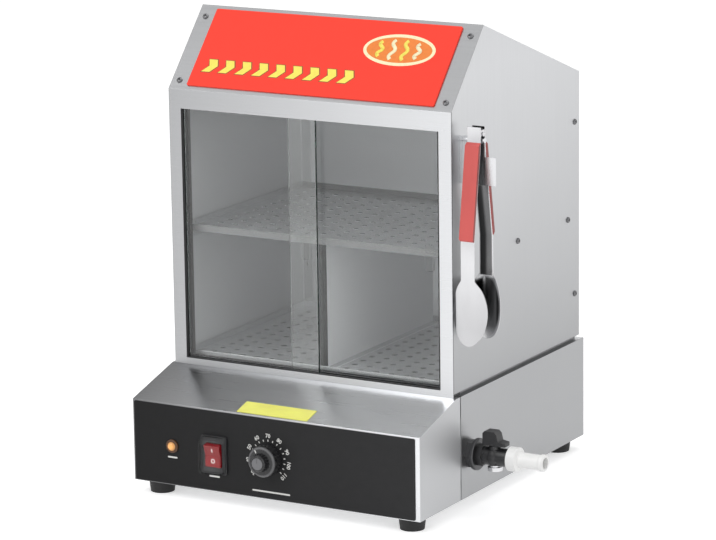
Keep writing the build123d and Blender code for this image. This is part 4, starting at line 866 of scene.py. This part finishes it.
        # painted highlights: a line down the cup, the tip and the rim
        off_line = calc(tree, "ABSOLUTE", calc(tree, "SUBTRACT", across, self.painted_highlight_line))
        line = calc(tree, "SUBTRACT", 1.0, calc(tree, "MULTIPLY", off_line, self.highlight_line_sharpness))
        tip = spread(tree, up, 0.9, 0.0, *self.painted_highlight_tip)
        painted_streak = calc(tree, "MAXIMUM", calc(tree, "MAXIMUM", line, 0.0), tip)
        painted_streak = calc(tree, "MULTIPLY", in_cup, painted_streak)
        light = calc(tree, "MAXIMUM", painted_streak, spread(tree, rim, 0.0, 1.0, *self.painted_highlight_rim))
        smudge = noise(tree, coords, (60.0, 60.0, 25.0), 3.0)
        outer_tone = mottled(tree, smudge, base, 0.95, 1.03)
        heights, levels = self.painted_foot_shade
        span = [low.z / MM + height for height in heights]
        outer_tone = slope_tone(tree, coords, outer_tone, 2, span, levels)
        # painted shade on the faces that look inward, darkest at the cup's far edge
        near, far, edge = (shade(base, level) for level in self.painted_shade_levels)
        dark = tint(tree, spread(tree, across, 0.0, 1.0, *self.painted_shade_turn), near, far)
        painted_far_edge = calc(tree, "MULTIPLY", in_cup, spread(tree, across, 0.0, 1.0, *self.painted_shade_edge))
        dark = tint(tree, painted_far_edge, dark, edge)
        unlit = calc(tree, "SUBTRACT", 1.0, light)
        tone = tint(tree, calc(tree, "MULTIPLY", facing(tree, 1, inward), unlit), outer_tone, dark)
        wipes = noise(tree, coords, (900.0, 900.0, 12.0), 2.0)
        marks = spread(tree, smudge, 0.16, 0.24)
        close_finish(tree, tone, marks, wipes, 0.04, 0.03, 0.3, Metallic=1.0)
        return material


class STEAMER_OT_bright_metal(bpy.types.Operator):
    """Chrome, brass and heater sheath of the drain, nuts and small hardware"""

    bl_idname = "steamer.bright_metal"
    bl_label = "Chrome and brass"

    def execute(self, context):
        colours = context.scene.steamer_colours
        chrome = bright_finish("chrome", colours.bright_steel, 0.14)
        dress(chrome, "valve_cap valve_ball tong_pin tong_spring thermostat_shaft foot_screws")
        cast = bright_finish("cast_steel", shade(colours.screw, 0.5), 0.34)
        dress(cast, "drain_collar hex_nuts")
        dress(bright_finish("brass", colours.brass, 0.2), "drain_pipe")
        sheath = steel_finish("heater_sheath", shown(96, 92, 90), "X", 0.42)
        dress(sheath, "heating_element thermostat_bulb")
        return {"FINISHED"}


class STEAMER_OT_plastics(bpy.types.Operator):
    """Black panel, moulded plastics, rubber, lamp lens and rocker"""

    bl_idname = "steamer.plastics"
    bl_label = "Plastics and rubber"

    panel_painted_gradient = (0, (-187, 183), (0.55, 1.2))  # painted light, darker to the left: an axis, a span and two levels
    rim_highlight_radii = (14.6, 15.8, 16.9, 17.8)  # radii where the painted highlight starts, is full, fades and ends
    lens_glow = (2.0, 5.8)  # radii where the glow fades and ends

    def execute(self, context):
        colours = context.scene.steamer_colours
        black = colours.plastic
        moulded = "switch_frame valve_lever cord_gland thermostat_body terminal_block"
        tracks = "door_track_bottom door_track_top"
        # finish, colour, roughness, grain, bump and nodes
        for name, base, rough, grain, bump, nodes in (
            ("plastic_black", black, 0.4, 2600.0, 0.25, f"{moulded} {tracks}"),
            ("bezel_amber", colours.bezel, 0.3, 1500.0, 0.05, "lamp_bezel"),
            ("valve_black", black, 0.3, 2600.0, 0.25, "valve_body"),
            ("rubber_black", colours.rubber, 0.62, 2000.0, 0.4, "feet jamb_seals element_gaskets"),
            ("seal_grey", colours.seal, 0.7, 2000.0, 0.3, "cabinet_seal"),
        ):
            dress(moulded_finish(name, base, rough, grain, bump), nodes)
        panel = {"drift": self.panel_painted_gradient, "Specular_IOR_Level": 0.12}
        dress(
            moulded_finish("panel_black", colours.panel, 0.42, 1800.0, 0.08, **panel),
            "control_panel",
        )
        white = moulded_finish("plastic_white", colours.spout, 0.4, bump=0.1, wear=0.015)
        dress(white, "drain_spout")
        red = colours.rocker
        rocker = moulded_finish("rocker_red", red, 0.18, 1500.0, 0.05, Coat_Weight=0.1)
        dress(rocker, "switch_rocker")
        dress(steel_finish("knob_disc", shown(112, 112, 114), "X", 0.34), "knob_insert")
        dress(self.knob_finish(black), "knob")
        dress(self.grip_finish(colours.grip), "tong_grip_front tong_grip_rear")
        dress(self.lens_finish(colours.lens), "lamp_lens")
        return {"FINISHED"}

    def off_axis(self, tree, coords, node):
        """Coordinates from a node's middle, and the distance from its axis along Y."""
        low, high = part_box(node)
        shift = {"Vector": coords, "Location": tuple(-(low + high) / 2)}
        place = wire(tree, "ShaderNodeMapping", shift).outputs[0]
        parts = parts_of(tree, place)
        return place, distance(tree, parts[0], parts[2])

    def knob_finish(self, black):
        """Black knob with a painted highlight, a lighter rim, round its front face."""
        material, tree, coords = start_finish("knob_black")
        out = self.off_axis(tree, coords, "knob")[1]
        start, full, fade, end = (radius * MM for radius in self.rim_highlight_radii)
        # painted highlight on the rim of the front face
        inside = spread(tree, out, 0.0, 1.0, start, full)
        outside = spread(tree, out, 1.0, 0.0, fade, end)
        rim_highlight = calc(tree, "MULTIPLY", calc(tree, "MULTIPLY", inside, outside), facing(tree, 1, -1))
        scuffs = noise(tree, coords, 300.0, 4.0)
        tone = tint(tree, rim_highlight, shade(black, 0.8), shown(98, 98, 100))
        close_finish(tree, tone, spread(tree, scuffs, 0.24, 0.36), scuffs, 0.05, 0.05, 0.6)
        return material

    def grip_finish(self, red):
        """Red grip, with painted shade along its two narrow sides."""
        material, tree, coords = start_finish("grip_red")
        pores = noise(tree, coords, 2400.0, 2.0)
        wear = noise(tree, coords, (50.0, 50.0, 20.0), 2.0)
        flat = mottled(tree, wear, red, 0.95, 1.03)
        # painted shade on the faces that look along X
        tone = tint(tree, facing(tree, 0, 0), flat, shade(red, 0.4))
        close_finish(tree, tone, spread(tree, wear, 0.38, 0.46), pores, 0.06, 0.05, 0.6)
        return material

    def lens_finish(self, amber):
        """Amber lens with small facets and a brighter middle, lit from inside."""
        material, tree, coords = start_finish("lens_amber")
        place, out = self.off_axis(tree, coords, "lamp_lens")
        fade, end = (radius * MM for radius in self.lens_glow)
        glow = spread(tree, out, 1.0, 0.0, fade, end)
        facets = cell_edges(tree, place, 900.0, 0.15)
        tone = tint(tree, glow, shade(amber, 0.5), shade(amber, 1.2))
        rough = spread(tree, facets, 0.22, 0.1, 0.0, 0.3)
        lit = {"Coat_Weight": 0.3, "Emission_Strength": 0.4, "Emission_Color": tone}
        close_finish(tree, tone, rough, facets, 0.4, 0.4, **lit)
        return material


class STEAMER_OT_clear(bpy.types.Operator):
    """Door glass, finger pulls and the clear cover over the switch"""

    bl_idname = "steamer.clear"
    bl_label = "Glass and clear plastic"

    film = 0.05  # of air behind each pull
    glass = ((0.985, 0.995, 0.99), (0.35, 0.62, 0.52), 0.0, 0.25)  # colours, roughnesses
    plastic = ((0.97, 0.97, 0.965), (0.9, 0.91, 0.91), 0.02, 0.03)
    plastic_ior = 1.03

    def execute(self, context):
        dress(clear_finish("door_glass", *self.glass), "glass_door_left glass_door_right")
        plastic = clear_finish("clear_plastic", *self.plastic, self.plastic_ior, Coat_Weight=0.1)
        dress(plastic, "switch_cover")
        for side in ("left", "right"):
            self.add_pull(side, plastic)
        return {"FINISHED"}

    def add_pull(self, side, plastic):
        """A finger pull whose back is clear of its pane by a film of air."""
        name = "door_pull_" + side
        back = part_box(name)[1].y
        form = merged_copy(NODES[name].data)
        for vertex in form.verts:
            if vertex.co.y > back - self.film * MM:
                vertex.co.y -= self.film * MM
        mesh = form_to_mesh("pull_" + side, form)
        smooth(mesh)
        piece = add_piece("finger_pull_" + side, mesh, side + "_door", plastic)
        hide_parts(name)


class STEAMER_OT_screws(bpy.types.Operator):
    """Pan-head screws of the cabinet, bracket, rear and sign"""

    bl_idname = "steamer.screws"
    bl_label = "Screws"

    def execute(self, context):
        sizes = context.scene.steamer_sizes
        metal = bright_finish("screw_steel", context.scene.steamer_colours.screw, 0.3)
        places = []
        for face, spots in SCREWS:
            outward = face.to_3x3() @ Z_AXIS
            places += [(face @ Vector((x * MM, y * MM, 0.0)), outward) for x, y in spots]
        values = {
            "Head Radius": sizes.screw_radius,
            "Head Height": sizes.screw_height,
            "Recess Width": sizes.recess_width,
            "Steel": metal,
        }
        heads = grow("screw_heads", screw_tree(), points_mesh("screw_places", places), values)
        smooth(heads)
        piece = add_piece("screw_heads", heads, "steamer")
        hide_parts("pan_screws")
        return {"FINISHED"}


class STEAMER_OT_sign_print(bpy.types.Operator):
    """Red sign plate's finish and its print of a badge and a row of chevrons"""

    bl_idname = "steamer.sign_print"
    bl_label = "Sign print"

    plate_face = 2.0  # the plate's face above the sign's backing
    badge_middle = (94.0, 74.0)
    badge_rim = 4.0
    ribbons = ((-24, 20, "yellow"), (-8, 26, "cream"), (8, 26, "yellow"), (24, 20, "cream"))
    ribbon_waves = 1.5
    ribbon_swing = 2.6
    ribbon_width = 4.4
    row_start = (-147.0, 25.0)
    slant = 5.0
    point_share = 0.34  # reach of a chevron's point, as a share of its height
    outline = 0.9
    outline_point = 1.6  # outlines grow that much more at the points
    # heights above the plate, in thicknesses of the print
    field_top, ribbon_middle = 0.9, 1.2
    edge_top, chevron_top = 0.8, 1.4

    def execute(self, context):
        sizes, colours = context.scene.steamer_sizes, context.scene.steamer_colours
        look = (0.4, 2400.0, 0.03, 0.3, 0.015)  # roughness, grain, bump, edge and wear
        red = moulded_finish("sign_red", colours.sign, *look, Specular_IOR_Level=0.2)
        dress(red, "sign_plate")
        inks = {}
        for name in ("yellow", "cream", "orange", "brown"):
            inks[name] = print_finish("ink_" + name, getattr(colours, "print_" + name))
        face = SIGN @ Matrix.Translation((0, 0, self.plate_face * MM))
        parts = [*self.badge(sizes, inks), *self.chevrons(sizes, inks)]
        add_piece("sign_artwork", join("sign_artwork", parts, face), "steamer")
        return {"FINISHED"}

    def badge(self, sizes, inks):
        """Oval badge: a cream rim, an orange field and steam ribbons."""
        ink = sizes.ink
        width, height, rim = sizes.badge_width, sizes.badge_height, self.badge_rim * MM
        middle = Vector((*self.badge_middle, 0.0)) * MM
        at = Matrix.Translation(middle)
        field = oval(width - 2 * rim, height - 2 * rim)
        form = bmesh.new()
        ring_slab(form, oval(width, height), field, ink)
        meshes = [form_to_mesh("badge_rim", form, at, inks["cream"])]
        meshes.append(slab("badge_field", field, ink * self.field_top, at, inks["orange"]))
        tree = wave_tree()
        quarter = Matrix.Rotation(math.pi / 2, 4, "Z")
        for x, tall, ink_name in self.ribbons:
            values = {
                "Length": tall * MM,
                "Wave": tall * MM / self.ribbon_waves,
                "Swing": self.ribbon_swing * MM,
                "Width": self.ribbon_width * MM,
                "Thickness": ink,
                "Ink": inks[ink_name],
            }
            ribbon = grow("steam_ribbon", tree, bpy.data.meshes.new("ribbon_start"), values)
            start = middle + Vector((x * MM, -tall / 2 * MM, ink * self.ribbon_middle))
            ribbon.transform(Matrix.Translation(start) @ quarter)
            meshes.append(ribbon)
        return meshes

    def chevrons(self, sizes, inks):
        """Slanted chevrons in yellow with a thin brown edge."""
        ink, tall, wide = sizes.ink, sizes.chevron_height, sizes.chevron_width
        point = tall * self.point_share
        tree = row_tree()
        meshes = []
        for name, grown, high in (
            ("brown", self.outline * MM, ink * self.edge_top),
            ("yellow", 0.0, ink * self.chevron_top),
        ):
            outline = (
                (-grown, -grown),
                (wide + grown, -grown),
                (wide + point + self.outline_point * grown, tall / 2),
                (wide + grown, tall + grown),
                (-grown, tall + grown),
                (point - self.outline_point * grown, tall / 2),
            )
            slanted = [(x + self.slant * MM * (y / tall - 0.5), y) for x, y in outline]
            values = {"Count": sizes.chevron_count, "Pitch": sizes.chevron_pitch, "Ink": inks[name]}
            row = grow("chevron_row", tree, slab("chevron", slanted, high), values)
            row.transform(Matrix.Translation(Vector((*self.row_start, 0.0)) * MM))
            meshes.append(row)
        return meshes


class STEAMER_OT_notice(bpy.types.Operator):
    """Blank yellow plate on the slope, with a fine raised net"""

    bl_idname = "steamer.notice"
    bl_label = "Notice plate"

    def execute(self, context):
        material, tree, coords = start_finish("notice_yellow")
        base = context.scene.steamer_colours.notice
        cover = noise(tree, coords, (30.0, 60.0, 60.0), 3.0)
        cells = cell_edges(tree, coords, 420.0, 0.2)
        tone = mottled(tree, cover, base, 0.9, 1.05)
        close_finish(tree, tone, spread(tree, cover, 0.3, 0.42), cells, 0.1, 0.05, Coat_Weight=0.3)
        dress(material, "notice_plate")
        return {"FINISHED"}


class STEAMER_OT_dial_print(bpy.types.Operator):
    """Numbers and marks round the knob, and plain bars under the lamp, switch and knob"""

    bl_idname = "steamer.dial_print"
    bl_label = "Dial print"

    numbers = ("30", "40", "50", "60", "70", "80", "90", "100", "110")
    half_sweep = 132.0  # degrees each side of the top
    tick_width = 1.1
    tick_share = 0.8  # middle of the marks, as a share of the dial's radius
    bars = (
        ((-3.5, 25.0), (50.0, 1.9)),
        ((-79.0, 34.0), (14.0, 2.0)),
        ((-135.5, 49.5), (13.0, 1.9)),
    )

    def execute(self, context):
        sizes = context.scene.steamer_sizes
        ink = print_finish("ink_white", context.scene.steamer_colours.print_white)
        thick, radius = sizes.ink, sizes.dial_radius
        sweep = math.radians(self.half_sweep)
        meshes = []
        last = len(self.numbers) - 1
        for i, body in enumerate(self.numbers):
            turn = math.radians(self.half_sweep * (1 - 2 * i / last))
            place = Matrix.Rotation(turn, 4, "Z") @ Matrix.Translation((0, radius, 0))
            mesh = numeral(body, sizes.numeral_height, sizes.numeral_weight, thick)
            mesh.transform(DIAL @ place)
            mesh.materials.clear()
            mesh.materials.append(ink)
            meshes.append(mesh)
        mark = upright_bar(self.tick_width * MM, sizes.tick_length, (0.0, radius * self.tick_share))
        angles = {"First Angle": sweep, "Last Angle": -sweep}
        values = {"Count": sizes.tick_count, **angles, "Ink": ink}
        ticks = grow("dial_ticks", fan_tree(), slab("tick", mark, thick), values)
        ticks.transform(DIAL)
        meshes.append(ticks)
        form = bmesh.new()
        for middle, (width, height) in self.bars:
            at = (middle[0] * MM, middle[1] * MM)
            prism(form, bar(width * MM, height * MM, at), thick)
        meshes.append(form_to_mesh("label_bars", form, PANEL, ink))
        add_piece("panel_print", join("panel_print", meshes), "steamer")
        return {"FINISHED"}


class STEAMER_OT_switch_marks(bpy.types.Operator):
    """The bar and ring moulded on the rocker's two halves, and the knob's pointer line"""

    bl_idname = "steamer.switch_marks"
    bl_label = "Switch and knob marks"

    mark_height = 0.2
    mark_offset = 6.4  # of each mark from the rocker's middle
    bar_size = (1.1, 5.0)
    ring_sizes = (5.2, 3.4)  # outer and inner diameter
    pointer_reach = (11.6, 15.6)  # from the knob's axis
    pointer_width = 1.3
    pointer_angle = 120.0
    knob_face = -221.55  # middle of the knob's coned face, under the pointer
    face_tilt = 10.0

    def execute(self, context):
        ink = print_finish("ink_mark", context.scene.steamer_colours.print_white, 0.4)
        self.add_rocker_marks(ink)
        self.add_pointer(ink)
        return {"FINISHED"}

    def add_rocker_marks(self, ink):
        """Both marks, laid on the rocker's face where a ray from the front meets it."""
        rocker = NODES["switch_rocker"].data
        faces = BVHTree.FromPolygons(
            [vertex.co for vertex in rocker.vertices], [face.vertices for face in rocker.polygons]
        )
        low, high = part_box("switch_rocker")
        middle = (low + high) / 2
        clear = 0.02  # metres in front of the rocker, where the rays start
        form = bmesh.new()
        for side, draw in ((1, self.bar_mark), (-1, self.ring_mark)):
            start = Vector((middle.x, low.y - clear, middle.z + side * self.mark_offset * MM))
            hit, normal = faces.ray_cast(start, Y_AXIS)[:2]
            if hit is None:
                raise RuntimeError("the rocker's face wasn't found under its mark")
            out = normal if normal.y < 0 else -normal
            up = (Z_AXIS - out * Z_AXIS.dot(out)).normalized()
            mark = bmesh.new()
            draw(mark)
            mesh = form_to_mesh("mark", mark, plane(hit / MM, up.cross(out), up))
            form.from_mesh(mesh)
            bpy.data.meshes.remove(mesh)
        add_piece("rocker_marks", form_to_mesh("rocker_marks", form), "rocker", ink)

    def add_pointer(self, ink):
        """The line on the knob's coned face."""
        near, far = self.pointer_reach
        line = bar((far - near) * MM, self.pointer_width * MM)
        low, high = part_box("knob")
        hub = Vector(((low.x + high.x) / 2, self.knob_face * MM, (low.z + high.z) / 2))
        place = (
            plane(hub / MM, (1, 0, 0), (0, 0, 1))
            @ Matrix.Rotation(math.radians(self.pointer_angle), 4, "Z")
            @ Matrix.Translation(((near + far) / 2 * MM, 0, 0))
            @ Matrix.Rotation(math.radians(self.face_tilt), 4, "Y")
        )
        pointer = slab("knob_pointer", line, self.mark_height * MM, place)
        add_piece("knob_pointer", pointer, "thermostat_knob", ink)

    def bar_mark(self, form):
        """Upright bar, the on mark."""
        width, height = self.bar_size
        prism(form, upright_bar(width * MM, height * MM), self.mark_height * MM)

    def ring_mark(self, form):
        """Ring, the off mark."""
        outer, inner = (oval(size * MM, size * MM, 32) for size in self.ring_sizes)
        ring_slab(form, outer, inner, self.mark_height * MM)


class STEAMER_OT_stage(bpy.types.Operator):
    """Pale floor, white surroundings, soft lamps and the camera"""

    bl_idname = "steamer.stage"
    bl_label = "Stage"

    image = (716, 540)
    principal = (358.2, 263.7)
    focal_pixels = 3515.0
    sensor = 36.0
    aim = (0.0, -5.0, 275.0)
    aside = (0.3, 23.4)
    distance = 4102.0
    yaw, pitch, roll = 29.97, 12.71, -0.80
    lamps = (
        ("key", (-1.6, -2.6, 2.6), 2.2, 40.0),
        ("fill", (2.8, -1.4, 1.8), 2.0, 16.0),
        ("top", (0.2, 0.6, 3.2), 2.4, 22.0),
    )
    floor_reach = 14.0
    sky = 0.6  # world's light on surfaces
    floor_lift = 0.45

    def execute(self, context):
        scene = context.scene
        self.set_camera(scene)
        self.set_world(scene)
        for name, place, size, power in self.lamps:
            light = bpy.data.lights.new(name, "AREA")
            light.shape = "SQUARE"
            light.size = size
            light.energy = power
            lamp = add_object(name, light)
            lamp.location = place
            toward = Vector(self.aim) * MM - lamp.location
            lamp.rotation_euler = toward.to_track_quat("-Z", "Y").to_euler()
        self.add_floor()
        scene.view_settings.view_transform = "Standard"
        return {"FINISHED"}

    def set_camera(self, scene):
        """Camera at the photograph's viewing angle."""
        yaw, pitch, roll = (math.radians(v) for v in (self.yaw, self.pitch, self.roll))
        back = Vector(
            (math.sin(yaw) * math.cos(pitch), -math.cos(yaw) * math.cos(pitch), math.sin(pitch))
        )
        level = Vector((math.cos(yaw), math.sin(yaw), 0.0))
        upright = back.cross(level)
        right = level * math.cos(roll) + upright * math.sin(roll)
        up = upright * math.cos(roll) - level * math.sin(roll)
        turn = Matrix((right, up, back)).transposed()
        width, height = self.image
        data = bpy.data.cameras.new("camera")
        data.sensor_width = self.sensor
        data.lens = self.focal_pixels / width * self.sensor
        data.shift_x = (width / 2 - self.principal[0]) / width
        data.shift_y = (self.principal[1] - height / 2) / width
        data.clip_end = 100.0
        camera = add_object("camera", data)
        offset = turn @ Vector((-self.aside[0], -self.aside[1], self.distance))
        camera.matrix_world = Matrix.Translation((Vector(self.aim) + offset) * MM) @ turn.to_4x4()
        scene.camera = camera

    def seen(self, tree):
        """One for rays that show the surroundings, zero for their light on surfaces."""
        rays = wire(tree, "ShaderNodeLightPath").outputs
        first = calc(tree, "MAXIMUM", rays["Is Camera Ray"], rays["Is Glossy Ray"])
        return calc(tree, "MAXIMUM", first, rays["Is Transmission Ray"])

    def set_world(self, scene):
        """White surroundings that light the object at a plain level."""
        world = bpy.data.worlds.new("studio")
        world.use_nodes = True
        tree = world.node_tree
        tree.nodes.clear()
        light, white = (
            wire(tree, "ShaderNodeBackground", {"Color": (1, 1, 1, 1), "Strength": strength})
            for strength in (self.sky, 1.0)
        )
        mix = {0: self.seen(tree), 1: light.outputs[0], 2: white.outputs[0]}
        mixed = wire(tree, "ShaderNodeMixShader", mix)
        wire(tree, "ShaderNodeOutputWorld", {"Surface": mixed.outputs[0]})
        scene.world = world

    def add_floor(self):
        """Pale matt floor that keeps the shadow and meets the white surroundings."""
        material, tree, coords = start_finish("floor_white")
        soft = noise(tree, coords, 0.6, 1.0)
        pale = tint(tree, soft, (0.93, 0.93, 0.93), (0.95, 0.95, 0.95))
        surface = {"Base Color": pale, "Roughness": 0.9, "Specular IOR Level": 0.0}
        matt = wire(tree, "ShaderNodeBsdfPrincipled", surface)
        strength = calc(tree, "MULTIPLY", self.seen(tree), self.floor_lift)
        lift = wire(tree, "ShaderNodeEmission", {"Color": (1, 1, 1, 1), "Strength": strength})
        both = wire(tree, "ShaderNodeAddShader", {0: matt.outputs[0], 1: lift.outputs[0]})
        wire(tree, "ShaderNodeOutputMaterial", {"Surface": both.outputs[0]})
        r = self.floor_reach
        mesh = bpy.data.meshes.new("floor")
        mesh.from_pydata([(-r, -r, 0), (r, -r, 0), (r, r, 0), (-r, r, 0)], [], [(0, 1, 2, 3)])
        mesh.materials.append(material)
        add_object("floor", mesh)


class STEAMER_PT_dressing(bpy.types.Panel):
    """Lists the steps that dress the steamer"""

    bl_idname = "STEAMER_PT_dressing"
    bl_label = "Steamer dressing"
    bl_space_type = "VIEW_3D"
    bl_region_type = "UI"
    bl_category = "Steamer"

    def draw(self, context):
        column = self.layout.column()
        for step in STEPS:
            column.operator(step.bl_idname)
        for group in (context.scene.steamer_sizes, context.scene.steamer_colours):
            box = self.layout.box()
            for name in group.bl_rna.properties.keys():
                if name not in ("rna_type", "name"):
                    box.prop(group, name)


STEPS = (
    STEAMER_OT_steel,
    STEAMER_OT_tong_arms,
    STEAMER_OT_bright_metal,
    STEAMER_OT_plastics,
    STEAMER_OT_clear,
    STEAMER_OT_screws,
    STEAMER_OT_sign_print,
    STEAMER_OT_notice,
    STEAMER_OT_dial_print,
    STEAMER_OT_switch_marks,
    STEAMER_OT_stage,
)
CLASSES = (SteamerSizes, SteamerColours, *STEPS, STEAMER_PT_dressing)


def register():
    """Register the property groups, steps and panel."""
    for cls in CLASSES:
        bpy.utils.register_class(cls)
    bpy.types.Scene.steamer_sizes = PointerProperty(type=SteamerSizes)
    bpy.types.Scene.steamer_colours = PointerProperty(type=SteamerColours)


def unregister():
    """Take the registered classes away again."""
    del bpy.types.Scene.steamer_sizes
    del bpy.types.Scene.steamer_colours
    for cls in reversed(CLASSES):
        bpy.utils.unregister_class(cls)


def clear_leftovers():
    """Remove what stood in the scene before the frame was loaded."""
    kept = set(NODES.values()) | set(frame["bodies"].values())
    for thing in list(bpy.context.scene.objects):
        if thing not in kept and thing.parent not in kept:
            bpy.data.objects.remove(thing)


def main():
    """Dress the frame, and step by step."""
    clear_leftovers()
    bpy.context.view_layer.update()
    register()
    for step in STEPS:
        group, name = step.bl_idname.split(".")
        getattr(getattr(bpy.ops, group), name)()


if __name__ == "__main__":
    main()
